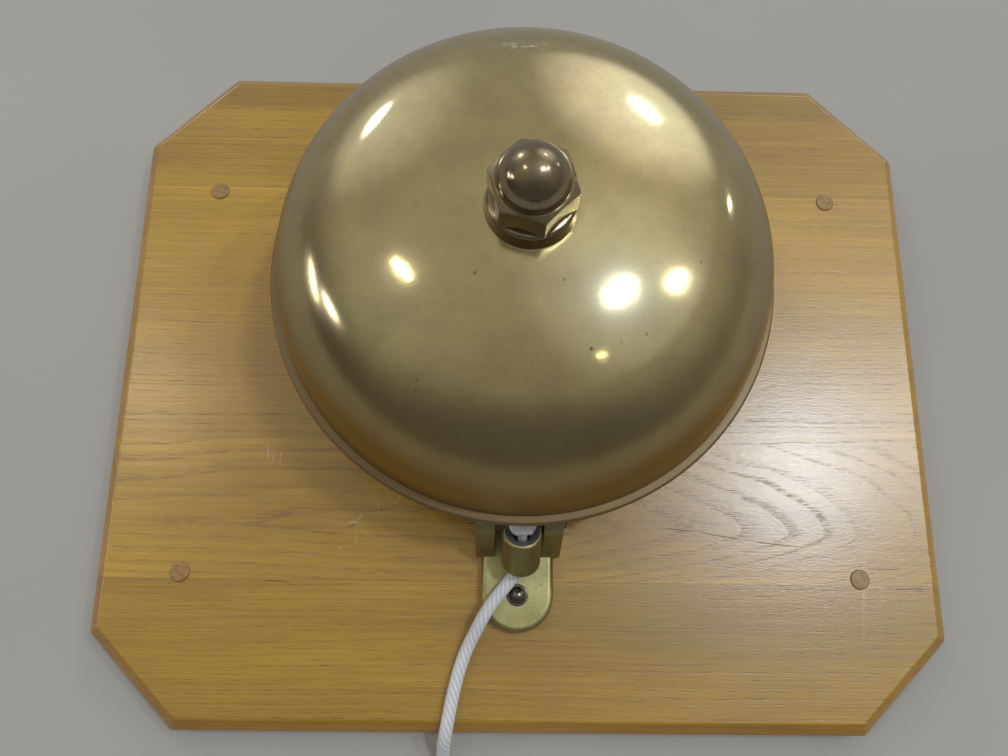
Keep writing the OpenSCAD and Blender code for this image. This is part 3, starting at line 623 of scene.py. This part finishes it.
def cup_painted_light(material):
    """The eye's cup: a painted grey reflection inside it, and a thin painted gold highlight round its
    mouth.
    """
    recipe = Recipe(material)
    out, height = eye_place(recipe)
    within = recipe.span(out, CUP_R + 0.1 * MM, CUP_R - 0.1 * MM)
    inside = recipe.math("MULTIPLY", within, recipe.span(height, -CUP_H - 0.3 * MM, -CUP_H))
    past_cup = recipe.span(out, CUP_R - 0.2 * MM, CUP_R)
    ring = recipe.math("MULTIPLY", past_cup, recipe.span(out, CUP_R + 0.7 * MM, CUP_R + 0.4 * MM))
    rim = recipe.math("MULTIPLY", ring, recipe.span(height, -0.9 * MM, -0.3 * MM))
    before = recipe.shader.inputs["Base Color"].links[0].from_socket
    # Painted highlight: a thin gold line round the cup's mouth
    colour = recipe.mix(rim, before, CUP_RIM_HIGHLIGHT)
    # Painted reflection: the inside of the cup grey
    recipe.put(Base_Color=recipe.mix(inside, colour, CUP_REFLECTION_GREY))
    rough = recipe.shader.inputs["Roughness"].links[0].from_socket
    recipe.put(Roughness=recipe.math("ADD", rough, recipe.math("MULTIPLY", inside, 0.10)))


HIDE_DARK = (0.075, 0.038, 0.020)
HIDE_WORN = (0.150, 0.082, 0.042)


def leather():
    """Dark harness leather: a pebbled grain over a brown body."""
    recipe = new_finish("leather")
    far, _ = recipe.specks(recipe.place, 1100)
    mottle = recipe.noise(recipe.place, 120, 4.0)
    hide = recipe.ramp(mottle, (0.3, HIDE_DARK), (0.7, HIDE_WORN))
    recipe.put(Base_Color=hide, Roughness=recipe.span(mottle, 0.3, 0.7, 0.5, 0.7))
    recipe.put(Normal=recipe.bump(far, 0.15 * MM, 0.5))
    return recipe.material


def wave(recipe, value, half_turns):
    """A sine that passes that many half turns for each step of the value."""
    return recipe.math("SINE", recipe.math("MULTIPLY", value, math.pi * half_turns))


COTTON_PLAIN = (0.88, 0.88, 0.89)
COTTON_WHITE = (0.98, 0.98, 0.98)
COTTON_BLUISH = (0.58, 0.59, 0.70)
COTTON_GAP_SHADE = (0.045, 0.043, 0.042)


def rope_cotton():
    """White braid: strands that cross over and under, those of one lay bluer, and painted shade in the
    gaps between strands and between a knot's wraps.
    """
    recipe = new_finish("rope_cotton")
    around, along, _ = recipe.parts(recipe.add("ShaderNodeUVMap", uv_map="braid").outputs["UV"])
    half = BRAID_STRANDS / 2
    spread = recipe.math("MULTIPLY", around, half)
    left = recipe.math("ADD", spread, along)
    right = recipe.math("SUBTRACT", spread, along)
    over = recipe.math("MULTIPLY", wave(recipe, spread, 2.0), wave(recipe, along, 2.0))
    over = recipe.span(over, -0.06, 0.06)
    low = recipe.math("ABSOLUTE", wave(recipe, right, 1.0))
    high = recipe.math("ABSOLUTE", wave(recipe, left, 1.0))
    high = recipe.math("MULTIPLY", high, recipe.span(over, 0, 1, 0.45, 1.0))
    low = recipe.math("MULTIPLY", low, recipe.span(over, 0, 1, 0.55, 0.0))
    lift = recipe.math("ADD", high, low)
    yarn = recipe.noise(recipe.vector(recipe.math("MULTIPLY", left, 6), right, 0.0), 2.5, 3.0)
    fuzz = recipe.noise(recipe.place, 2500, 2.0)
    cotton = recipe.ramp(yarn, (0.3, COTTON_PLAIN), (0.7, COTTON_WHITE))
    traced = recipe.span(wave(recipe, left, 1.0), -0.2, 0.6, 0.0, 0.60)
    cotton = recipe.mix(traced, cotton, COTTON_BLUISH)
    # Painted shade: darker down between the strands of the braid
    gap_shade = recipe.math("POWER", recipe.math("SUBTRACT", 1.0, recipe.span(lift, 0, 1)), 1.6)
    # Painted shade kept on the knots' points, between their wraps and on the eye knot's stem
    knot_gap_shade = recipe.add("ShaderNodeAttribute", attribute_name="gap_shade").outputs["Fac"]
    gap_shade = recipe.math("MULTIPLY", gap_shade, 0.15)
    gap_shade = recipe.math("MAXIMUM", gap_shade, recipe.math("MULTIPLY", knot_gap_shade, 0.97))
    cotton = recipe.mix(gap_shade, cotton, COTTON_GAP_SHADE)
    soft = recipe.bump(fuzz, 0.12 * MM, 0.3)
    braided = recipe.bump(lift, 0.30 * MM, 0.8, soft)
    recipe.put(Base_Color=cotton, Roughness=0.85, Normal=recipe.bump(yarn, 0.10 * MM, 0.4, braided))
    recipe.put(Sheen_Weight=0.2, Sheen_Roughness=0.5)
    return recipe.material


def link(obj, material, body):
    """Puts a finished piece in the scene, on its body and with its finish."""
    bpy.context.scene.collection.objects.link(obj)
    obj.data.materials.clear()
    obj.data.materials.append(material)
    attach(obj, body)
    return obj


def smooth(mesh, degrees=SMOOTH_UNDER):
    for face in mesh.polygons:
        face.use_smooth = True
    mesh.set_sharp_from_angle(angle=math.radians(degrees))


def from_bmesh(name, bm):
    mesh = bpy.data.meshes.new(name)
    bm.normal_update()
    bm.to_mesh(mesh)
    bm.free()
    return bpy.data.objects.new(name, mesh)


def eased_copy(node, ease, least=EASED_OVER, keep=None, sharp=SMOOTH_UNDER):
    """A copy of a CAD node's mesh: merged, its flat faces joined and its outer corners bevelled."""
    bm = bmesh.new()
    bm.from_mesh(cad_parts[node].data)
    bmesh.ops.remove_doubles(bm, verts=bm.verts, dist=MERGE)
    bmesh.ops.dissolve_limit(bm, angle_limit=math.radians(FLAT_WITHIN), verts=bm.verts, edges=bm.edges)
    bmesh.ops.recalc_face_normals(bm, faces=bm.faces)
    turn = math.radians(least)
    corners = [
        e for e in bm.edges
        if e.is_manifold and e.calc_face_angle_signed(0.0) > turn and (keep is None or keep(e))
    ]
    bmesh.ops.bevel(
        bm, geom=corners, offset=ease, offset_type="OFFSET", segments=2, profile=0.5,
        affect="EDGES", clamp_overlap=True, material=-1,
    )
    obj = from_bmesh(f"{node}_dressed", bm)
    smooth(obj.data, sharp)
    even = obj.modifiers.new("even_shading", "WEIGHTED_NORMAL")
    even.keep_sharp = True
    return obj


def dress(node, material, body, slot, ease, **how):
    """Puts a finished copy in a CAD node's place, its corners eased by that many millimetres."""
    piece = link(eased_copy(node, ease * MM, **how), material, body)
    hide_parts(node)
    return piece


def arc(middle, radius, start, end, steps):
    """Points on an arc, as (distance from the axis, height)."""
    return [
        (
            middle[0] + radius * math.cos(start + (end - start) * i / steps),
            middle[1] + radius * math.sin(start + (end - start) * i / steps),
        )
        for i in range(steps + 1)
    ]


def spun(name, profile, axis, steps):
    """Spins a closed profile of (radius, height) points round an upright axis."""
    bm = bmesh.new()
    verts = [bm.verts.new((axis.x + r, axis.y, z)) for r, z in profile]
    edges = [bm.edges.new(pair) for pair in zip(verts, verts[1:])]
    edges.append(bm.edges.new((verts[-1], verts[0])))
    bmesh.ops.spin(
        bm, geom=verts + edges, cent=(axis.x, axis.y, 0), axis=(0, 0, 1), angle=2 * math.pi,
        steps=steps, use_merge=True,
    )
    bmesh.ops.remove_doubles(bm, verts=bm.verts, dist=SPUN_MERGE)
    bmesh.ops.recalc_face_normals(bm, faces=bm.faces)
    return from_bmesh(name, bm)


def oak_board():
    """Five glued strips; only their outer edges are eased, so that the glue lines stay closed."""
    def at_joint(edge):
        a, b = (v.co for v in edge.verts)
        for i in range(1, STRIPS):
            y = BOARD_HALF_H - i * STRIP_H
            if abs(a.y - y) < GLUE_LINE and abs(b.y - y) < GLUE_LINE:
                return True
        return False

    def outside(edge):
        a, b = (v.co for v in edge.verts)
        in_hole = (a - b).length < PLUG_BORE_EDGE
        return not in_hole and not at_joint(edge)

    for i in range(STRIPS):
        dress(f"oak_strip_{i + 1}", oak(i), "bell", "oak", ease=0.9, keep=outside)


def gong_profile():
    """Half section of the gong: its lip, skirt, shoulder and crown, and the same way back inside."""
    crown_z = COLLAR_Z - CROWN_R * math.sin(math.acos(SEAT_R / CROWN_R))
    up = (-math.sin(SKIRT_LEAN), math.cos(SKIRT_LEAN))
    out = (math.cos(SKIRT_LEAN), math.sin(SKIRT_LEAN))
    shoulder = (
        SKIRT_R + SKIRT_L * up[0] - SHOULDER_R * out[0],
        RIM_Z + LIP_H + SKIRT_L * up[1] - SHOULDER_R * out[1],
    )
    meet = math.atan2(shoulder[1] - crown_z, shoulder[0])
    inner_r = CROWN_R - GONG_T
    seat = math.acos(SEAT_R / CROWN_R)
    under = math.acos(UNDER_SEAT_R / inner_r)
    under_z = crown_z + inner_r * math.sin(under)
    band_top = RIM_Z + LIP_H - LIP_LEDGE
    quarter = math.pi / 2
    inner_lip = SKIRT_R + LIP_H * math.tan(SKIRT_LEAN) - GONG_T / math.cos(SKIRT_LEAN)
    foot = (SKIRT_R - LIP_LEDGE * math.tan(SKIRT_LEAN), band_top)
    bend = arc(shoulder, SHOULDER_R, SKIRT_LEAN, meet, SHOULDER_STEPS)
    rise = (bend[0][0] - foot[0], bend[0][1] - foot[1])
    skirt = [(foot[0] + rise[0] * t, foot[1] + rise[1] * t) for t in (0, 0.1, 0.5)]
    return (
        [(inner_lip, RIM_Z)]
        + arc((GONG_R - LIP_ROUND, RIM_Z + LIP_ROUND), LIP_ROUND, -quarter, 0, LIP_STEPS)
        + arc((GONG_R - LIP_ROUND, band_top - LIP_ROUND), LIP_ROUND, 0, quarter, LIP_STEPS)
        + skirt
        + bend
        + arc((0, crown_z), CROWN_R, meet, seat, CROWN_STEPS)[1:]
        + [(STUD_HOLE_R, COLLAR_Z), (STUD_HOLE_R, under_z)]
        + arc((0, crown_z), inner_r, under, meet, CROWN_STEPS)
        + arc(shoulder, SHOULDER_R - GONG_T, meet, SKIRT_LEAN, SHOULDER_STEPS)[1:]
    )


def gong(brass):
    piece = spun("gong_shell", gong_profile(), BELL, GONG_SIDES)
    smooth(piece.data, degrees=30)
    link(piece, brass, "bell")
    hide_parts("gong")


def crown_collar(bronze):
    in_by, up_by = COLLAR_CHAMFER
    top = COLLAR_Z + COLLAR_H
    corner = (COLLAR_TOP_R - COLLAR_ROUND, top - COLLAR_ROUND)
    profile = (
        [(STUD_HOLE_R, COLLAR_Z), (SEAT_R - in_by, COLLAR_Z), (SEAT_R, COLLAR_Z + up_by)]
        + arc(corner, COLLAR_ROUND, 0, math.pi / 2, COLLAR_STEPS)
        + [(STUD_HOLE_R, top)]
    )
    piece = spun("crown_collar_turned", profile, BELL, COLLAR_SIDES)
    smooth(piece.data, degrees=40)
    link(piece, bronze, "bell")
    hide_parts("crown_collar")


def tube_along(name, points, radius, sides, step):
    """A tube along smooth points, its UV map counting round it and, along it, strands of the braid."""
    line = resampled(points, step)
    directions = headings(line)
    side = across(directions)
    bm = bmesh.new()
    bm.loops.layers.uv.new("braid")
    bmesh.ops.create_grid(
        bm, x_segments=sides, y_segments=len(line) - 1, size=0.5, calc_uvs=True,
    )
    for vert in bm.verts:
        i = round((vert.co.y + 0.5) * (len(line) - 1))
        turn = 2 * math.pi * (vert.co.x + 0.5)
        out = math.cos(turn) * side[i] + math.sin(turn) * directions[i].cross(side[i])
        vert.co = line[i] + radius * out
    uv = bm.loops.layers.uv["braid"]
    turns = (len(line) - 1) * step / BRAID_PITCH * BRAID_STRANDS / 2
    for face in bm.faces:
        for loop in face.loops:
            loop[uv].uv.y *= turns
    bmesh.ops.remove_doubles(bm, verts=bm.verts, dist=MERGE)
    ends = [e for e in bm.edges if e.is_boundary]
    bmesh.ops.holes_fill(bm, edges=ends, sides=sides + 2)
    bmesh.ops.recalc_face_normals(bm, faces=bm.faces)
    piece = from_bmesh(name, bm)
    smooth(piece.data, degrees=60)
    return piece, line


def resampled(points, step):
    """Evenly spaced points on a smooth curve through the given ones."""
    fine = []
    for i in range(len(points) - 1):
        p0, p1 = points[max(i - 1, 0)], points[i]
        p2, p3 = points[i + 1], points[min(i + 2, len(points) - 1)]
        for k in range(ROPE_CURVE_STEPS):
            t = k / ROPE_CURVE_STEPS
            fine.append(
                0.5 * (2 * p1 + (p2 - p0) * t + (2 * p0 - 5 * p1 + 4 * p2 - p3) * t * t
                       + (3 * p1 - p0 - 3 * p2 + p3) * t * t * t)
            )
    fine.append(points[-1])
    total = sum((b - a).length for a, b in zip(fine, fine[1:]))
    count = max(2, round(total / step))
    even = [fine[0]]
    reach, wanted = 0.0, total / count
    for a, b in zip(fine, fine[1:]):
        length = (b - a).length
        while len(even) < count and reach + length >= wanted * len(even):
            even.append(a.lerp(b, (wanted * len(even) - reach) / length))
        reach += length
    even.append(fine[-1])
    return even


def headings(line):
    """The way that the line runs at each of its points."""
    last = len(line) - 1
    return [(line[min(i + 1, last)] - line[max(i - 1, 0)]).normalized() for i in range(last + 1)]


def across(directions):
    """A cross direction at each point, carried along so that the tube doesn't twist."""
    found = []
    side = Vector((1, 0, 0))
    for ahead in directions:
        side = (side - side.dot(ahead) * ahead).normalized()
        found.append(side)
    return found


def coil_points():
    """Three turns from the left side, each inside the last, and the tail into the end knot."""
    points = []
    for i in range(1, COIL_TURNS * COIL_STEPS + 1):
        turn = math.pi + 2 * math.pi * i / COIL_STEPS
        r = COIL_OUT_R - COIL_PITCH * i / COIL_STEPS
        points.append(COIL_MIDDLE + Vector((r * math.cos(turn), r * math.sin(turn), 0)))
    inner = COIL_OUT_R - COIL_PITCH * COIL_TURNS
    for i in range(1, TAIL_POINTS + 1):
        turn = math.pi + math.radians(TAIL_DEGREES * i)
        r = inner - TAIL_INWARD * i
        points.append(COIL_MIDDLE + Vector((r * math.cos(turn), r * math.sin(turn), TAIL_RISE * i)))
    return points


def pull_rope(cotton):
    points = [Vector(p) * MM for p in ROPE_ROUTE] + coil_points()
    piece, line = tube_along("pull_rope_braided", points, ROPE_R, ROPE_SIDES, ROPE_STEP)
    bpy.context.scene.collection.objects.link(piece)
    piece.data.materials.append(cotton)
    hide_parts("pull_rope", "rope_coil")
    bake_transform(piece)
    return piece, line


def between_wraps(angle):
    """How deep a point lies between two wraps, from 0 on a wrap to 1 in the gap."""
    return (1 - abs(math.sin(angle))) ** 1.5


def wrapped(piece, middle, axis, wraps, depth):
    """Wraps of rope over a round lump: its points move in between the wraps, and the gaps are kept for
    painted shade.
    """
    # Painted shade: each point's depth between the wraps, darkened by the rope's finish
    gap_shade = piece.data.attributes.new("gap_shade", "FLOAT", "POINT")
    for i, vert in enumerate(piece.data.vertices):
        out = vert.co - middle
        along = math.acos(max(-1, min(1, out.normalized().dot(axis))))
        side = axis.orthogonal()
        turn = math.atan2(out.dot(axis.cross(side)), out.dot(side))
        low = between_wraps(along * wraps / 2 + turn / 2)
        vert.co = middle + out * (1 - depth * low)
        gap_shade.data[i].value = low


def end_knot(cotton):
    bm = bmesh.new()
    bm.loops.layers.uv.new("braid")
    bmesh.ops.create_uvsphere(
        bm, u_segments=64, v_segments=40, radius=END_KNOT_R, calc_uvs=True,
        matrix=Matrix.Translation(END_KNOT_PLACE),
    )
    piece = from_bmesh("rope_end_knot_tied", bm)
    wrapped(piece, END_KNOT_PLACE, END_KNOT_AXIS, END_KNOT_WRAPS, END_KNOT_DENT)
    smooth(piece.data, degrees=80)
    link(piece, cotton, "bell")
    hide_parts("rope_end_knot")
    return piece


def eye_knot(cotton):
    """The knot that fills the cup of the lever's eye, made over the CAD knot's own shape."""
    low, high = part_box("rope_knot")
    bm = bmesh.new()
    bm.from_mesh(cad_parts["rope_knot"].data)
    bmesh.ops.remove_doubles(bm, verts=bm.verts, dist=MERGE)
    long = [e for e in bm.edges if e.calc_length() > KNOT_FINE]
    bmesh.ops.subdivide_edges(bm, edges=long, cuts=3, use_grid_fill=True)
    bmesh.ops.triangulate(bm, faces=bm.faces)
    piece = from_bmesh("rope_knot_tied", bm)
    top = max(v.co.y for v in piece.data.vertices)
    centre = Vector(((low.x + high.x) / 2, top - KNOT_R, high.z - KNOT_R))
    upright = Matrix.Rotation(EYE_LEAN, 3, "X")
    mouth = EYE_PIVOT + upright.inverted() @ Vector((0, -EYE_OFF, EYE_TOP))
    gap_shade = piece.data.attributes.new("gap_shade", "FLOAT", "POINT")
    for i, vert in enumerate(piece.data.vertices):
        at = upright @ (vert.co - mouth)
        # Painted shadow: the stem in the bore is squeezed thin and given full painted shade
        if at.z < KNOT_FOOT and math.hypot(at.x, at.y) < STEM_R + STEM_SLACK:
            below = max(0, min(1, (-at.z - CUP_H) / STEM_TAPER))
            squeeze = STEM_SQUEEZE + (1 - STEM_SQUEEZE) * below
            vert.co = mouth + upright.inverted() @ Vector((at.x * squeeze, at.y * squeeze, at.z))
            gap_shade.data[i].value = 1.0
            continue
        out = vert.co - centre
        if out.length > KNOT_REACH:
            continue
        over = out.x * KNOT_WRAP_WAY[0] + out.y * KNOT_WRAP_WAY[1]
        low_part = between_wraps(math.pi * over / KNOT_WRAP)
        vert.co = centre + out * (1 - KNOT_DENT * low_part)
        gap_shade.data[i].value = KNOT_SHADE * low_part
    smooth(piece.data, degrees=80)
    link(piece, cotton, "lever")
    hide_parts("rope_knot")
    return piece


FLOOR_HALF = 6
FLOOR_SHADE = (0.43, 0.415, 0.385)
FLOOR_LIGHT = (0.48, 0.465, 0.435)


def floor():
    """A wide flat floor, plain grey with faint clouds."""
    bm = bmesh.new()
    bmesh.ops.create_grid(bm, x_segments=1, y_segments=1, size=FLOOR_HALF)
    piece = from_bmesh("floor", bm)
    recipe = new_finish("floor_grey")
    grain = recipe.noise(recipe.place, 900, 2.0)
    clouds = recipe.noise(recipe.place, 2.2, 2.0)
    grey = recipe.mix(recipe.span(clouds, 0.3, 0.7), FLOOR_SHADE, FLOOR_LIGHT)
    recipe.put(Base_Color=grey, Roughness=0.9, Normal=recipe.bump(grain, 0.2 * MM, 0.2))
    piece.data.materials.append(recipe.material)
    bpy.context.scene.collection.objects.link(piece)


# Lamps, far off: the direction to each as (right, up the board, off the board), its width and
# height, how far it is turned, how strongly it lights a face turned to it, and its colour
LAMP_AIM = Vector((0, 0.03, 0.1))
LAMP_FAR = 6.0
LAMPS = [
    ("window_right", (0.386, 0.112, 0.916), (0.20, 0.70), 22, 0.66, (0.76, 0.87, 1.0)),
    ("bulb_left", (-0.444, 0.195, 0.875), (0.10, 0.60), -29, 0.13, (1.0, 0.93, 0.78)),
    ("window_upper_left", (-0.498, 0.753, 0.429), (0.95, 0.80), 30, 0.19, (0.90, 0.95, 1.0)),
    ("window_upper_right", (0.406, 0.764, 0.502), (0.75, 0.12), -15, 0.08, (0.90, 0.95, 1.0)),
    ("bulb_right", (0.585, 0.175, 0.792), (0.10, 0.40), 30, 0.22, (0.98, 0.96, 0.90)),
    ("glow_right", (0.823, 0.480, 0.304), (0.16, 0.50), 27, 0.03, (0.95, 0.97, 1.0)),
    ("glow_left", (-0.922, -0.040, 0.385), (0.34, 1.00), -56, 0.13, (0.88, 0.86, 1.0)),
    ("window_left", (-0.970, 0.110, 0.200), (1.30, 0.25), 0, 0.14, (0.92, 0.92, 1.0)),
    ("bulb_low", (0.328, -0.142, 0.934), (0.05, 0.22), 51, 0.005, (1.0, 0.86, 0.60)),
]
# Light of the room: from above, from past the board's top edge, from its sides, from far to its left,
# and from past its lower edge
SKY_HIGH = (0.465, 0.45, 0.41)
SKY_TOP = (0.40, 0.40, 0.40)
SKY_SIDE = (0.26, 0.250, 0.240)
SKY_LEFT = (0.09, 0.070, 0.058)
SKY_LOW = (0.145, 0.145, 0.135)
# Where one turns into another, along x, y, z and again y of the direction looked in
LEFT_TO_SIDE = (-0.85, -0.25)
SIDE_TO_TOP = (0.0, 0.75)
SIDE_TO_HIGH = (0.15, 0.8)
LOW_TO_SIDE = (-0.85, 0.15)
# Soft patches of light round the lamps and between them: the direction to each, how far it spreads in
# degrees, and its colour
SKY_GLOWS = [
    ((0.372, 0.160, 0.914), 26, (0.22, 0.25, 0.32)),
    ((0.430, 0.450, 0.780), 22, (0.17, 0.17, 0.14)),
    ((-0.500, 0.750, 0.430), 23, (0.38, 0.40, 0.47)),
    ((0.420, 0.800, 0.430), 24, (0.98, 1.00, 1.16)),
]
BACKDROP = (0.80, 0.80, 0.79)


def lamps():
    for name, toward, (width, height), turn, strength, colour in LAMPS:
        data = bpy.data.lights.new(name, "AREA")
        data.shape = "ELLIPSE"
        data.size, data.size_y = width, height
        data.energy = strength * math.pi * LAMP_FAR ** 2
        data.color = colour
        lamp = bpy.data.objects.new(name, data)
        away = Vector(toward).normalized()
        place = Matrix.Translation(LAMP_AIM + LAMP_FAR * away)
        facing = away.to_track_quat("Z", "Y").to_matrix().to_4x4()
        lamp.matrix_world = place @ facing @ Matrix.Rotation(math.radians(turn), 4, "Z")
        bpy.context.scene.collection.objects.link(lamp)


def room():
    """A soft room: light above and past the board's top edge, darker at its left and lower edge."""
    world = bpy.data.worlds.new("room")
    bpy.context.scene.world = world
    world.use_nodes = True
    sky = Nodes(world.node_tree)
    view = sky.add("ShaderNodeTexCoord").outputs["Generated"]
    toward = sky.parts(view)
    level = sky.mix(sky.span(toward["X"], *LEFT_TO_SIDE, smooth=True), SKY_LEFT, SKY_SIDE)
    level = sky.mix(sky.span(toward["Y"], *SIDE_TO_TOP, smooth=True), level, SKY_TOP)
    above = sky.mix(sky.span(toward["Z"], *SIDE_TO_HIGH, smooth=True), level, SKY_HIGH)
    whole = sky.mix(sky.span(toward["Y"], *LOW_TO_SIDE, smooth=True), SKY_LOW, above)
    for middle, spread, colour in SKY_GLOWS:
        near = sky.add("ShaderNodeVectorMath", operation="DOT_PRODUCT")
        sky.feed(near.inputs[0], view)
        sky.feed(near.inputs[1], Vector(middle).normalized())
        glow = sky.span(near.outputs["Value"], math.cos(math.radians(spread)), 1.0, smooth=True)
        whole = sky.mix(glow, whole, colour, "ADD")
    seen = sky.mix(sky.add("ShaderNodeLightPath").outputs["Is Camera Ray"], whole, BACKDROP)
    sky.feed(sky.tree.nodes["Background"].inputs["Color"], seen)


def rope_and_knots():
    cotton = rope_cotton()
    rope, line = pull_rope(cotton)
    knot = end_knot(cotton)
    eye = eye_knot(cotton)
    tie = dress("coil_tie", cotton, "bell", "rope", ease=0.3)


def collar_and_nut():
    bronze = worn_metal("bronze")
    crown_collar(bronze)
    dress("acorn_nut", bronze, "bell", "bronze", ease=0.45, sharp=35)


def bracket():
    brass = worn_metal("bracket_brass", shaded_ears=True)
    dress("bracket_base", brass, "bell", "bracket_brass", ease=0.6)
    dress("gong_post", brass, "bell", "bracket_brass", ease=0.4)


def trip_lever():
    brass = worn_metal("lever_brass")
    cup_painted_light(brass)
    dress("trip_lever", brass, "lever", "lever_brass", ease=0.5)


def steel_pieces():
    """Fixings on the bell, and the hammer on the lever."""
    steel = worn_metal("dark_steel")
    for node in ("bracket_bolts", "bolt_washers", "bolt_nuts", "pivot_pin", "split_pin"):
        dress(node, steel, "bell", "dark_steel", ease=0.25)
    for node in ("hammer_arm", "hammer_nuts", "hammer_head"):
        dress(node, steel, "lever", "dark_steel", ease=0.4)


def return_spring():
    spring = worn_metal("spring_steel")
    dress("return_spring", spring, "bell", "spring_steel", ease=0.02, least=80, sharp=60)


def leather_pieces():
    hide = leather()
    dress("cushion_washer", hide, "bell", "leather", ease=0.3)
    dress("rest_pad", hide, "bell", "leather", ease=0.4)


def build():
    place_camera()
    rope_and_knots()
    oak_board()
    dress("hole_plugs", plug_wood(), "bell", "plug_wood", ease=0.3, least=20)
    gong(aged_brass())
    collar_and_nut()
    bracket()
    trip_lever()
    steel_pieces()
    return_spring()
    leather_pieces()

    floor()
    lamps()
    room()
    bpy.context.scene.view_settings.view_transform = "Standard"


build()
